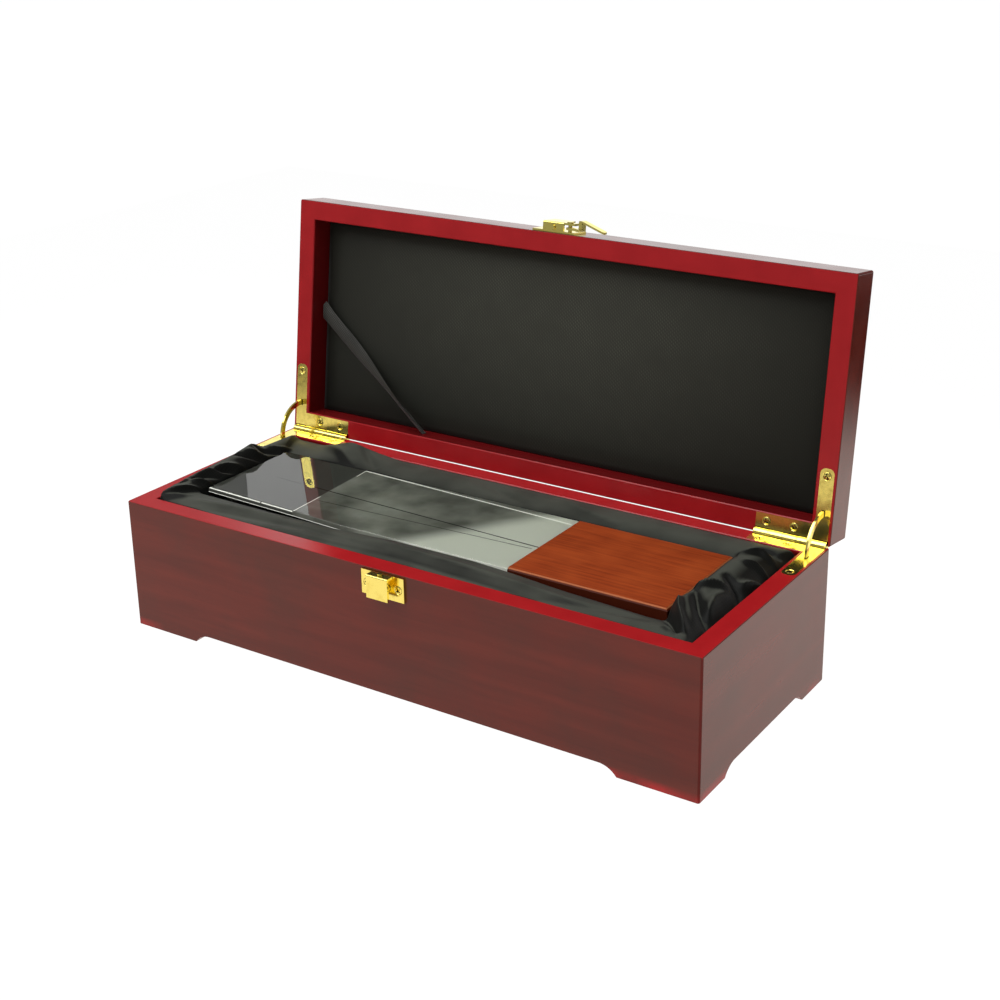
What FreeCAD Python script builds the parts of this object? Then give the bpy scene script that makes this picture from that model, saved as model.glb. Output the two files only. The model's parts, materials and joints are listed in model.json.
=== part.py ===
import FreeCAD, Part
import math
import os
import re
import Sketcher

# Driving dimensions, in millimetres and degrees.
SIZES = {
    # Box: mitred boards, the gap between the two rims and the open lid.
    "case_length": 350,
    "case_depth": 138.4,
    "base_height": 73.5,
    "lid_height": 20,
    "board": 11,
    "rim_gap": 0.4,
    "open_angle": 97.6,
    "corner_round": 1.2,
    "edge_bevel": 0.4,
    # Feet left standing at the corners when the bottom edges are cut away.
    "foot_height": 5,
    "foot_front": 43,
    "foot_side": 26,
    "foot_rise": 10,
    # Floor let into grooves of the base boards, panel let into rebates of the lid rails.
    "floor_level": 9,
    "floor_thick": 5,
    "floor_groove": 4,
    "panel_thick": 4.5,
    "panel_rebate": 4,
    # Padded lining and ribbon of the lid.
    "card_thick": 1,
    "pad_edge": 1.2,
    "pad_crown": 3.3,
    "pad_lift": 0.2,
    "pad_draw": 0.8,
    "pad_room": 0.5,
    "ribbon_thick": 0.5,
    "ribbon_level": 9.2,
    "ribbon_wall_y": -5.4,
    "ribbon_back_x": -82.4,
    "ribbon_wall_half": 5.4,
    # Nest: foam with a pocket, a satin sheet over it and four satin rolls.
    "nest_room": 0.4,
    "foam_top": 61,
    "sheet_thick": 0.8,
    "roll_foot": 61.9,
    "roll_sides": 6,
    # Award lying in the nest: a clear plate on its backing, let into a wooden base block.
    "award_width": 70,
    "award_top": 73.7,
    "block_start": 50,
    "block_length": 89,
    "block_thick": 22,
    "block_bevel": 1.2,
    "slab_start": -152,
    "slab_tongue": 12,
    "slab_low": 62.2,
    "plate_low": 70.3,
    "slab_top": 73.2,
    "plate_nose": 4.8,
    "nose_end": -55,
    "backing_start": -89,
    "backing_nose": 2,
    "backing_lean": 3.8,
    "backing_taper": 4.8,
    "slab_bevel": 0.7,
    # Quadrant hinges: leaves, knuckles, pins and curved stays.
    "leaf_thick": 1.2,
    "leaf_width": 7.6,
    "leaf_length": 40,
    "leaf_reach": 40,
    "leaf_inset": 1.5,
    "leaf_round": 3,
    "knuckle_radius": 2.4,
    "knuckle_room": 0.4,
    "knuckle_gap": 0.2,
    "knuckle_count": 5,
    "bore_radius": 1.05,
    "pin_radius": 1,
    "stay_radius": 16.5,
    "stay_width": 3,
    "stay_thick": 1.2,
    "stay_room": 0.3,
    "stay_overlap": 11.2,
    "stay_margin": 1.5,
    "stay_tooth": 1.5,
    "tooth_angle": 4.5,
    # Screws of the hinges and the clasp.
    "screw_head": 2.3,
    "screw_shank": 1.1,
    "screw_length": 9,
    "screw_room": 0.05,
    "screw_sides": 12,
    "near_screw": 6,
    "far_screw": 21.3,
    "end_screw": 4,
    "recess_width": 0.55,
    "recess_span": 2.5,
    "recess_depth": 0.55,
    # Clasp: a keeper on the base, a like bracket on the lid and a swing lever.
    "clasp_width": 26,
    "clasp_tall": 13,
    "clasp_drop": 1.1,
    "clasp_sheet": 1.2,
    "clasp_out": 6,
    "flap_half": 6.5,
    "flap_tall": 12.2,
    "lug_end": 13.4,
    "lug_rise": 0.3,
    "lug_tall": 5,
    "bend_round": 0.8,
    "clasp_screw_x": 9.6,
    "keeper_screw_drop": 6.7,
    "bracket_screw_rise": 9.2,
    "boss_x": 3.4,
    "boss_radius": 1.5,
    "boss_tall": 0.7,
    "nub_radius": 1.3,
    "nub_tall": 0.8,
    "pivot_x": 9.6,
    "pivot_rise": 3,
    "rivet_radius": 1.1,
    "rivet_head": 1.8,
    "rivet_head_tall": 0.7,
    "lever_thick": 1.2,
    "lever_half": 2.2,
    "tooth_near": 6.4,
    "tooth_far": 8.4,
    "tooth_drop": 5,
    "paddle_out": 8,
    "paddle_end_out": 3.4,
    "paddle_reach": 22,
    "paddle_thick": 1.1,
    "paddle_tip": 1.5,
    "paddle_round": 0.45,
}

# Satin rolls round the award. Each row is a station along the roll: its place, how far the roll's
# two edges stand above the base's rim there, left or front edge first, and the bulge between them.
SATIN_FRONT = [
    ("slab_start", -1.1, -1.9, 1.2),
    ("-60", -1.3, -3.1, 1.8),
    ("20", -0.9, -2.1, 1.5),
    ("90", -1.3, -3.9, 2.2),
    ("block_start + block_length", -1.1, -6.5, 2.6),
]
SATIN_BACK = [
    ("slab_start", -3.1, 1.1, 2.2),
    ("-100", -2.5, 3.1, 2),
    ("-20", -3.3, 0.1, 1.6),
    ("60", -2.7, 0.7, 2),
    ("block_start + block_length", -3.3, -0.1, 2.4),
]
SATIN_LEFT = [
    ("-case_depth/2 + board + nest_room", -0.5, -0.1, 1.4),
    ("-30", 1.1, 0.3, 2.6),
    ("0", 2.7, 0.9, 3.4),
    ("30", 3.9, 1.5, 3),
    ("case_depth/2 - board - nest_room", 0.5, 0.1, 1.6),
]
SATIN_RIGHT = [
    ("-case_depth/2 + board + nest_room", -0.9, -0.9, 2.4),
    ("-28", 1.9, 0.7, 4.6),
    ("0", 0.9, 0.1, 4),
    ("28", 2.5, 0.9, 4.8),
    ("case_depth/2 - board - nest_room", -0.1, -0.1, 2.4),
]
# Places along the lid's lining where its crown is drawn, as shares of half its length.
PAD_STATIONS = (-1, -0.62, 0, 0.62, 1)

# Places worked out from the driving dimensions, as formulas of the sheet.
AXIS_Y = "(case_depth/2)"
AXIS_Z = "(base_height + rim_gap/2)"
LID_RIM = "(base_height + rim_gap)"
LID_TOP = "(base_height + rim_gap + lid_height)"
INNER_X = "(case_length/2 - board)"
INNER_Y = "(case_depth/2 - board)"
PANEL_LOW = f"({LID_TOP} - panel_thick)"
CARD_LOW = f"({PANEL_LOW} - card_thick)"
PAD_LOW = f"({CARD_LOW} - pad_edge)"
LEAF_OUT = "(case_length/2 - leaf_inset)"
LEAF_IN = f"({LEAF_OUT} - leaf_width)"
LEAF_MID = f"({LEAF_OUT} - leaf_width/2)"
LEAF_TIP = f"({LEAF_OUT} - leaf_length)"
LEAF_BACK = "(case_depth/2 - knuckle_radius - knuckle_room)"
LEAF_FRONT = f"({LEAF_BACK} - leaf_width)"
ARM_MID = f"({LEAF_BACK} - leaf_width/2)"
LEAF_END = "(case_depth/2 - leaf_reach)"
STAY_OUTER = "(stay_radius + stay_width/2)"
STAY_INNER = "(stay_radius - stay_width/2)"
BLOCK_END = "(block_start + block_length)"
BLOCK_LOW = "(award_top - block_thick)"
FRONT = "(-case_depth/2)"
KEEPER_TOP = "(base_height - clasp_drop)"
BRACKET_LOW = f"({LID_RIM} + clasp_drop)"
PIVOT_Z = f"({LID_RIM} + pivot_rise)"
LEVER_Y = f"({FRONT} - clasp_out/2)"

doc = FreeCAD.newDocument("presentation_case")
sheet = doc.addObject("Spreadsheet::Sheet", "Sizes")
for row, (alias, value) in enumerate(SIZES.items(), 1):
    sheet.set(f"A{row}", alias.replace("_", " "))
    sheet.set(f"B{row}", str(value))
    sheet.setAlias(f"B{row}", alias)
doc.recompute()

parts = []
SHEET_NAME = re.compile(r"\b(" + "|".join(SIZES) + r")\b")
TOUCH = 1e-4
PAST = 1


def formula(text):
    """Expression of the document for a formula written with the sheet's names."""
    return SHEET_NAME.sub(r"Sizes.\1", text)


def number(text):
    """Present value of a formula."""
    return float(sheet.evalExpression(formula(text)))


def new_part(label):
    """Body of one sub-part, kept in the list of pieces to write."""
    body = doc.addObject("PartDesign::Body", label)
    body.Label = label
    parts.append(body)
    return body


def sketch_at(body, plane, place):
    """Sketch on one of the body's own origin planes, moved along that plane's world axis."""
    sketch = body.newObject("Sketcher::SketchObject", f"{body.Name}_sketch")
    support = next(item for item in body.Origin.OriginFeatures if item.Role == f"{plane}_Plane")
    sketch.AttachmentSupport = [(support, "")]
    sketch.MapMode = "FlatFace"
    sign = "-" if plane == "XZ" else ""
    sketch.setExpression("AttachmentOffset.Base.z", formula(f"{sign}({place})"))
    return sketch


def bind(sketch, constraint, text):
    """Add a dimension to the sketch and tie it to a formula."""
    index = sketch.addConstraint(constraint)
    sketch.setExpression(f"Constraints[{index}]", formula(text))


def fix_point(sketch, shape, end, spot):
    """Hold one end of a shape at a spot given by two formulas."""
    for kind, text in zip(("DistanceX", "DistanceY"), spot):
        bind(sketch, Sketcher.Constraint(kind, -1, 1, shape, end, number(text)), text)


def arc_between(start, end, radius, turn):
    """Round side from start to end; turn is 1 anticlockwise and -1 clockwise."""
    chord = end - start
    rise = math.sqrt(max(radius ** 2 - chord.Length ** 2 / 4, 0)) * turn
    left = FreeCAD.Vector(-chord.y, chord.x, 0).normalize()
    centre = (start + end) / 2 + left * rise
    first, last = (start, end) if turn > 0 else (end, start)
    angles = [math.atan2(spot.y - centre.y, spot.x - centre.x) for spot in (first, last)]
    return Part.ArcOfCircle(Part.Circle(centre, FreeCAD.Vector(0, 0, 1), radius), *angles)


def draw(sketch, corners, arcs):
    """Closed outline through the corners; arcs gives radius and turn of the round sides."""
    spots = [FreeCAD.Vector(number(across), number(along), 0) for across, along in corners]
    ends = []
    for index, start in enumerate(spots):
        end = spots[(index + 1) % len(spots)]
        if index in arcs:
            radius, turn = arcs[index]
            shape = sketch.addGeometry(arc_between(start, end, number(radius), turn))
            bind(sketch, Sketcher.Constraint("Radius", shape, number(radius)), radius)
            ends.append((shape, 1, 2) if turn > 0 else (shape, 2, 1))
        else:
            ends.append((sketch.addGeometry(Part.LineSegment(start, end)), 1, 2))
    for index, (shape, start, _) in enumerate(ends):
        before, _, before_end = ends[index - 1]
        sketch.addConstraint(Sketcher.Constraint("Coincident", before, before_end, shape, start))
        fix_point(sketch, shape, start, corners[index])


def draw_circles(sketch, centres, radius):
    """Circles of one radius about several centres."""
    centre_end = 3
    for centre in centres:
        middle = FreeCAD.Vector(number(centre[0]), number(centre[1]), 0)
        circle = Part.Circle(middle, FreeCAD.Vector(0, 0, 1), number(radius))
        shape = sketch.addGeometry(circle)
        bind(sketch, Sketcher.Constraint("Radius", shape, number(radius)), radius)
        fix_point(sketch, shape, centre_end, centre)


def between(body, kind, sketch, start, end):
    """Pad or pocket of the sketch from one place to another along its plane's axis."""
    feature = body.newObject(f"PartDesign::{kind}", f"{body.Name}_{kind}")
    feature.Profile = sketch
    feature.setExpression("Length", formula(f"({end}) - ({start})"))
    feature.Reversed = kind == "Pocket"
    return feature


def prism(body, kind, plane, start, end, corners, arcs=None):
    """Pad or pocket an outline between two places along the plane's world axis."""
    sketch = sketch_at(body, plane, end if plane == "XZ" else start)
    draw(sketch, corners, arcs or {})
    return between(body, kind, sketch, start, end)


def rods(body, kind, plane, start, end, centres, radius):
    """Pad or pocket round bars between two places along the plane's world axis."""
    sketch = sketch_at(body, plane, end if plane == "XZ" else start)
    draw_circles(sketch, centres, radius)
    return between(body, kind, sketch, start, end)


def ring(centre, radius):
    """Corners of a many-sided ring about a centre."""
    across, along = centre
    turns = [f"({index}*360 deg/screw_sides)" for index in range(SIZES["screw_sides"])]
    return [(f"{across} + ({radius})*cos{turn}", f"{along} + ({radius})*sin{turn}") for turn in turns]


def drill(body, plane, start, end, centres, radius):
    """Straight screw holes between two places along the plane's world axis."""
    sketch = sketch_at(body, plane, end if plane == "XZ" else start)
    for centre in centres:
        draw(sketch, ring(centre, radius), {})
    return between(body, "Pocket", sketch, start, end)


def loft(body, plane, sections):
    """Solid with straight runs between outlines set along the plane's world axis."""
    sketches = []
    for place, corners, arcs in sections:
        sketch = sketch_at(body, plane, place)
        draw(sketch, corners, arcs)
        sketches.append(sketch)
    feature = body.newObject("PartDesign::AdditiveLoft", f"{body.Name}_loft")
    feature.Profile = sketches[0]
    feature.Sections = sketches[1:]
    feature.Ruled = True
    return feature


def rectangle(low_u, low_v, high_u, high_v):
    """Corners of a rectangle from its four bounds."""
    return [(low_u, low_v), (high_u, low_v), (high_u, high_v), (low_u, high_v)]


def dress(body, kind, size, wanted):
    """Fillet or chamfer the edges of the body's last feature that are wanted."""
    doc.recompute()
    base = body.Tip
    names = [f"Edge{i}" for i, edge in enumerate(base.Shape.Edges, 1) if wanted(edge)]
    feature = body.newObject(f"PartDesign::{kind}", f"{body.Name}_{kind}")
    feature.Base = (base, names)
    feature.setExpression("Radius" if kind == "Fillet" else "Size", formula(size))
    return feature


def lies_at(edge, axis, place):
    """Whether the whole edge has one coordinate along X, Y or Z."""
    box = edge.BoundBox
    low, high = getattr(box, f"{axis}Min"), getattr(box, f"{axis}Max")
    return abs(low - place) < TOUCH and abs(high - place) < TOUCH


def countersink(body, plane, face, back, centres):
    """Screw holes through a plate, bevelled at its face for the screws' heads."""
    hole = "screw_shank + 2*screw_room"
    drill(body, plane, *sorted((face, back), key=number), centres, hole)
    level, radius = number(face), number(hole)
    spots = [(number(across), number(along)) for across, along in centres]

    def at_hole(edge):
        middle = edge.CenterOfMass
        along, axis = (middle.y, "Z") if plane == "XY" else (middle.z, "Y")
        return lies_at(edge, axis, level) and any(
            math.hypot(middle.x - spot[0], along - spot[1]) < radius for spot in spots)

    dress(body, "Chamfer", "screw_head - screw_shank - screw_room", at_hole)


def is_mitre(edge):
    """Whether the edge runs slantwise in plan, as a mitre does."""
    box = edge.BoundBox
    straight = isinstance(edge.Curve, Part.Line)
    return straight and box.XLength > TOUCH and box.YLength > TOUCH


def bulged(first, second, rise):
    """Radius of an arc over the chord between two corners that stands a rise proud of it."""
    across = f"(({first[0]}) - ({second[0]}))^2"
    along = f"(({first[1]}) - ({second[1]}))^2"
    return f"({across} + {along})/(8*({rise})) + ({rise})/2"


def turned(corners, quarter):
    """Corners turned about the case's middle by a number of quarter turns."""
    for _ in range(quarter):
        corners = [(f"-({along})", across) for across, along in corners]
    return corners


def mirrored(corners, arcs, side):
    """Outline of the right hand side, or its mirror image on the left."""
    corners = [(f"{side}*({across})", along) for across, along in corners]
    return corners, {index: (radius, turn * side) for index, (radius, turn) in arcs.items()}


def mitred_board(label, quarter, low, high, rounded):
    """Board with mitred ends and eased edges; quarter 0 is the front and 1 the right."""
    runs = ["case_length/2", "case_depth/2"]
    reach, out = runs[quarter % 2], runs[1 - quarter % 2]
    ease = "corner_round"
    tip = "corner_round*(1 - sqrt(0.5))"
    corners = [
        (f"-{reach} + {tip}", f"-{out} + {tip}"),
        (f"-{reach} + {ease}", f"-{out}"),
        (f"{reach} - {ease}", f"-{out}"),
        (f"{reach} - {tip}", f"-{out} + {tip}"),
        (f"{reach} - board", f"-{out} + board"),
        (f"-{reach} + board", f"-{out} + board"),
    ]
    body = new_part(label)
    prism(body, "Pad", "XY", low, high, turned(corners, quarter), {0: (ease, 1), 2: (ease, 1)})
    levels = [number(level) for level in rounded]
    dress(body, "Chamfer", "edge_bevel",
          lambda edge: any(lies_at(edge, "Z", level) for level in levels) and not is_mitre(edge))
    return body


def cut_feet(body, quarter):
    """Cut the bottom edge away between the two feet, with a rounded rise at each end."""
    runs = [("case_length/2", "foot_front", "XZ"), ("case_depth/2", "foot_side", "YZ")]
    half, foot, plane = runs[quarter % 2]
    out = runs[1 - quarter % 2][0]
    end = f"({half} - {foot})"
    corners = [
        (f"-{end}", f"-{PAST}"),
        (f"-{end}", "0"),
        (f"-{end} + foot_rise", "foot_height"),
        (f"{end} - foot_rise", "foot_height"),
        (end, "0"),
        (end, f"-{PAST}"),
    ]
    rise = "(foot_rise^2 + foot_height^2)/(2*foot_height)"
    near, far = f"({out} - board - {PAST})", f"({out} + {PAST})"
    start, stop = (near, far) if quarter in (1, 2) else (f"-{far}", f"-{near}")
    prism(body, "Pocket", plane, start, stop, corners, {1: (rise, -1), 3: (rise, -1)})


def let_in(body, room, low, high):
    """Groove or rebate all round the inside of the case, as deep as room."""
    wide, deep = f"({INNER_X} + {room})", f"({INNER_Y} + {room})"
    prism(body, "Pocket", "XY", low, high, rectangle(f"-{wide}", f"-{deep}", wide, deep))


def leaf_outline(side):
    """L-shaped outline of a hinge leaf, with the end of its side arm rounded."""
    corners = [
        (LEAF_TIP, LEAF_FRONT),
        (LEAF_IN, LEAF_FRONT),
        (LEAF_IN, f"{LEAF_END} + leaf_round"),
        (f"{LEAF_IN} + leaf_round", LEAF_END),
        (f"{LEAF_OUT} - leaf_round", LEAF_END),
        (LEAF_OUT, f"{LEAF_END} + leaf_round"),
        (LEAF_OUT, LEAF_BACK),
        (LEAF_TIP, LEAF_BACK),
    ]
    return mirrored(corners, {2: ("leaf_round", 1), 4: ("leaf_round", 1)}, side)


def leaf_screws(side):
    """Places of the two screws in a leaf's back arm and the one in its side arm."""
    back = [(f"{side}*({LEAF_TIP} + {step})", ARM_MID) for step in ("near_screw", "far_screw")]
    return back, [(f"{side}*{LEAF_MID}", f"{LEAF_END} + end_screw")]


def at_angle(radius, angle):
    """Point about the hinge axis; the angle counts up from the case's front."""
    across = f"{AXIS_Y} - {radius}*cos(({angle})*1 deg)"
    return across, f"{AXIS_Z} + {radius}*sin(({angle})*1 deg)"


def half_thick(middle, thickness):
    """Start and end of a thickness about a middle."""
    return f"{middle} - ({thickness})/2", f"{middle} + ({thickness})/2"


def cut_hinge_seat(body, side, seat, notch, pilots, screws):
    """Seat for a leaf, clearance for the barrel and pilot holes for the screws."""
    prism(body, "Pocket", "XY", *seat, *leaf_outline(side))
    ends = [f"{side}*({LEAF_TIP} - knuckle_room)", f"{side}*({LEAF_OUT} + knuckle_room)"]
    prism(body, "Pocket", "XY", *notch, rectangle(ends[0], LEAF_BACK, ends[1], f"{AXIS_Y} + {PAST}"))
    drill(body, "XY", *pilots, screws, "screw_shank + screw_room")


def cut_stay_mortise(body, side, first, last):
    """Curved mortise in a side board that the stay sinks into when the lid shuts."""
    outer, inner = f"({STAY_OUTER} + stay_room)", f"({STAY_INNER} - stay_tooth - stay_room)"
    corners = [at_angle(outer, first), at_angle(outer, last), at_angle(inner, last), at_angle(inner, first)]
    start, end = half_thick(f"{side}*{LEAF_MID}", "stay_thick + 2*stay_room")
    prism(body, "Pocket", "YZ", start, end, corners, {0: (outer, -1), 2: (inner, 1)})


SEAT = ("base_height - leaf_thick", f"base_height + {PAST}")
NOTCH = (f"{AXIS_Z} - knuckle_radius - knuckle_room", f"base_height + {PAST}")
PILOTS = ("base_height - screw_length - stay_room", "base_height")
LID_SEAT = (f"{LID_RIM} - {PAST}", f"{LID_RIM} + leaf_thick")
LID_NOTCH = (f"{LID_RIM} - {PAST}", f"{AXIS_Z} + knuckle_radius + knuckle_room")
LID_PILOTS = (LID_RIM, f"{LID_RIM} + screw_length + stay_room")
STAY_SINK = "(open_angle/2 + stay_overlap + stay_margin)"
SIDES = {"front": 0, "right": 1, "back": 2, "left": 3}
HANDS = {"left": -1, "right": 1}


def clasp_screws(height):
    """Places of the two screws of a clasp plate, left and right."""
    return [(f"{side}*clasp_screw_x", height) for side in (-1, 1)]


KEEPER_SCREW_Z = f"({KEEPER_TOP} - keeper_screw_drop)"
BRACKET_SCREW_Z = f"({BRACKET_LOW} + bracket_screw_rise)"
CLASP_PILOT = (FRONT, f"{FRONT} + screw_length")


def build_frame(quarter_name, lid):
    """One board of the base or one rail of the lid, with everything cut in it."""
    quarter = SIDES[quarter_name]
    low, high = (LID_RIM, LID_TOP) if lid else ("0", "base_height")
    body = mitred_board(f"{'lid' if lid else 'base'}_{quarter_name}", quarter, low, high,
                        [low, high] if lid else [high])
    if lid:
        let_in(body, "panel_rebate", PANEL_LOW, f"{LID_TOP} + {PAST}")
    else:
        cut_feet(body, quarter)
        let_in(body, "floor_groove", "floor_level", "floor_level + floor_thick")
    seats = (LID_SEAT, LID_NOTCH, LID_PILOTS) if lid else (SEAT, NOTCH, PILOTS)
    for hand, side in HANDS.items():
        back, end = leaf_screws(side)
        if quarter_name == "back":
            cut_hinge_seat(body, side, *seats, back)
        if quarter_name == hand:
            cut_hinge_seat(body, side, *seats, end)
            cut_stay_mortise(body, side, *(("0", STAY_SINK) if lid else (f"-{STAY_SINK}", "0")))
    if quarter_name == "front":
        screws = clasp_screws(BRACKET_SCREW_Z if lid else KEEPER_SCREW_Z)
        drill(body, "XZ", *CLASP_PILOT, screws, "screw_shank + screw_room")
    return body


def build_panel(label, reach, low, high):
    """Flat panel that fills the grooves or rebates of the four boards."""
    body = new_part(label)
    wide, deep = f"({INNER_X} + {reach})", f"({INNER_Y} + {reach})"
    prism(body, "Pad", "XY", low, high, rectangle(f"-{wide}", f"-{deep}", wide, deep))
    return body


def build_leaf(label, side, lid):
    """Hinge leaf: an L-shaped plate, its knuckles, screw holes and a slot for the stay."""
    body = new_part(label)
    low, high = (LID_RIM, f"{LID_RIM} + leaf_thick") if lid else ("base_height - leaf_thick", "base_height")
    prism(body, "Pad", "XY", low, high, *leaf_outline(side))
    pitch = "leaf_length/knuckle_count"
    for index in range(1 if lid else 0, SIZES["knuckle_count"], 2):
        ends = [
            f"{LEAF_TIP} + {index}*{pitch} + knuckle_gap/2",
            f"{LEAF_TIP} + {index + 1}*{pitch} - knuckle_gap/2",
        ]
        start, end = ends if side > 0 else [f"-({place})" for place in reversed(ends)]
        tab = rectangle(f"{LEAF_BACK} - knuckle_room", low, AXIS_Y, high)
        prism(body, "Pad", "YZ", start, end, tab)
        rods(body, "Pad", "YZ", start, end, [(AXIS_Y, AXIS_Z)], "knuckle_radius")
    barrel = [f"{LEAF_TIP} - {PAST}", f"{LEAF_OUT} + {PAST}"]
    start, end = barrel if side > 0 else [f"-({place})" for place in reversed(barrel)]
    rods(body, "Pocket", "YZ", start, end, [(AXIS_Y, AXIS_Z)], "bore_radius")
    across = half_thick(f"{side}*{LEAF_MID}", "stay_thick + 2*stay_room")
    along = half_thick(f"({AXIS_Y} - stay_radius)", "stay_width + 2*stay_room")
    prism(body, "Pocket", "XY", low, high, rectangle(across[0], along[0], across[1], along[1]))
    back, end_screw = leaf_screws(side)
    face, foot = (low, high) if lid else (high, low)
    countersink(body, "XY", face, foot, back + end_screw)
    return body


def build_pin(label, side):
    """Plain pin through all the knuckles of a hinge."""
    body = new_part(label)
    start, end = [LEAF_TIP, LEAF_OUT] if side > 0 else [f"-{LEAF_OUT}", f"-{LEAF_TIP}"]
    rods(body, "Pad", "YZ", start, end, [(AXIS_Y, AXIS_Z)], "pin_radius")
    return body


def build_stay(label, side):
    """Curved flat stay about the hinge axis, with a tooth at each end that stops on a leaf."""
    body = new_part(label)
    first, last = "(-stay_overlap)", "(open_angle + stay_overlap)"
    tooth = f"({STAY_INNER} - stay_tooth)"
    corners = [
        at_angle(STAY_OUTER, first),
        at_angle(STAY_OUTER, last),
        at_angle(tooth, last),
        at_angle(tooth, f"{last} - tooth_angle"),
        at_angle(STAY_INNER, f"{last} - tooth_angle"),
        at_angle(STAY_INNER, f"{first} + tooth_angle"),
        at_angle(tooth, f"{first} + tooth_angle"),
        at_angle(tooth, first),
    ]
    arcs = {0: (STAY_OUTER, -1), 2: (tooth, 1), 4: (STAY_INNER, 1), 6: (tooth, 1)}
    start, end = half_thick(f"{side}*{LEAF_MID}", "stay_thick")
    prism(body, "Pad", "YZ", start, end, corners, arcs)
    return body


def build_clasp_half(label, top, web, plate_low, flap_low, flap_high):
    """Pressed clasp half: screwed plate, a web standing forward and a flap in front."""
    body = new_part(label)
    plate_out = f"({FRONT} - clasp_sheet)"
    flap_out = f"({FRONT} - clasp_out)"
    half = "clasp_width/2"
    plate = rectangle(f"-{half}", plate_low, half, f"{plate_low} + clasp_tall")
    prism(body, "Pad", "XZ", plate_out, FRONT, plate)
    shelf = rectangle("-flap_half", web, "flap_half", f"{web} + clasp_sheet")
    prism(body, "Pad", "XZ", flap_out, FRONT, shelf)
    flap = rectangle("-flap_half", flap_low, "flap_half", flap_high)
    prism(body, "Pad", "XZ", flap_out, f"{flap_out} + clasp_sheet", flap)
    bend_y, bend_z = number(flap_out), number(top)
    dress(body, "Fillet", "bend_round",
          lambda edge: lies_at(edge, "Y", bend_y) and lies_at(edge, "Z", bend_z))
    return body


def build_keeper():
    """Base half of the clasp, with a dimple on its plate and a nub on its web."""
    low = f"({KEEPER_TOP} - clasp_tall)"
    web = f"({KEEPER_TOP} - clasp_sheet)"
    body = build_clasp_half("clasp_keeper", KEEPER_TOP, web, low,
                            f"{KEEPER_TOP} - flap_tall", KEEPER_TOP)
    boss = [("boss_x", KEEPER_SCREW_Z)]
    plate_out = f"({FRONT} - clasp_sheet)"
    rods(body, "Pad", "XZ", f"{plate_out} - boss_tall", plate_out, boss, "boss_radius")
    rods(body, "Pad", "XY", KEEPER_TOP, f"{KEEPER_TOP} + nub_tall", [("0", LEVER_Y)], "nub_radius")
    countersink(body, "XZ", plate_out, FRONT, clasp_screws(KEEPER_SCREW_Z))
    return body


def build_bracket():
    """Lid half of the clasp, with a lug beside the web that carries the lever's rivet."""
    body = build_clasp_half("clasp_bracket", BRACKET_LOW, BRACKET_LOW, BRACKET_LOW,
                            BRACKET_LOW, f"{BRACKET_LOW} + flap_tall")
    flap_out = f"({FRONT} - clasp_out)"
    flap_in = f"({flap_out} + clasp_sheet)"
    lug = rectangle("flap_half", f"{BRACKET_LOW} + lug_rise", "lug_end", f"{BRACKET_LOW} + lug_tall")
    prism(body, "Pad", "XZ", flap_out, flap_in, lug)
    rods(body, "Pad", "XY", f"{BRACKET_LOW} - nub_tall", BRACKET_LOW, [("0", LEVER_Y)], "nub_radius")
    rods(body, "Pocket", "XZ", flap_out, flap_in, [("pivot_x", PIVOT_Z)], "rivet_radius")
    countersink(body, "XZ", f"({FRONT} - clasp_sheet)", FRONT, clasp_screws(BRACKET_SCREW_Z))
    return body


def build_rivet():
    """Rivet from the bracket's plate through the lever to a head on the lug."""
    body = new_part("clasp_rivet")
    flap_out = f"({FRONT} - clasp_out)"
    pivot = [("pivot_x", PIVOT_Z)]
    rods(body, "Pad", "XZ", flap_out, f"{FRONT} - clasp_sheet", pivot, "rivet_radius")
    rods(body, "Pad", "XZ", f"{flap_out} - rivet_head_tall", flap_out, pivot, "rivet_head")
    return body


def build_lever():
    """Swing lever: eye and arm, a hook tooth and a paddle that slopes back to the lid."""
    body = new_part("clasp_lever")
    back, front = half_thick(LEVER_Y, "lever_thick")[::-1]
    low, high = f"{PIVOT_Z} - lever_half", f"{PIVOT_Z} + lever_half"
    near, far = "(pivot_x + tooth_near)", "(pivot_x + tooth_far)"
    hook = [
        ("pivot_x", low),
        (near, low),
        (near, f"{PIVOT_Z} - tooth_drop"),
        (far, f"{PIVOT_Z} - tooth_drop"),
        (far, high),
        ("pivot_x", high),
    ]
    prism(body, "Pad", "XZ", front, back, hook)
    rods(body, "Pad", "XZ", front, back, [("pivot_x", PIVOT_Z)], "lever_half")
    out, end_out = f"({FRONT} - paddle_out)", f"({FRONT} - paddle_end_out)"
    end = "(pivot_x + paddle_reach)"
    strip = [
        (near, back),
        (near, out),
        (far, out),
        (end, end_out),
        (end, f"{end_out} + paddle_thick"),
        (far, f"{out} + paddle_thick"),
        (far, back),
    ]
    prism(body, "Pad", "XY", low, high, strip)
    tip = number(end)
    dress(body, "Fillet", "paddle_tip",
          lambda edge: lies_at(edge, "X", tip) and edge.BoundBox.YLength > TOUCH)
    bend = number(out)
    dress(body, "Fillet", "paddle_round",
          lambda edge: lies_at(edge, "Y", bend) and edge.BoundBox.ZLength > 1)
    rods(body, "Pocket", "XZ", front, back, [("pivot_x", PIVOT_Z)], "rivet_radius + screw_room")
    return body


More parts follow.
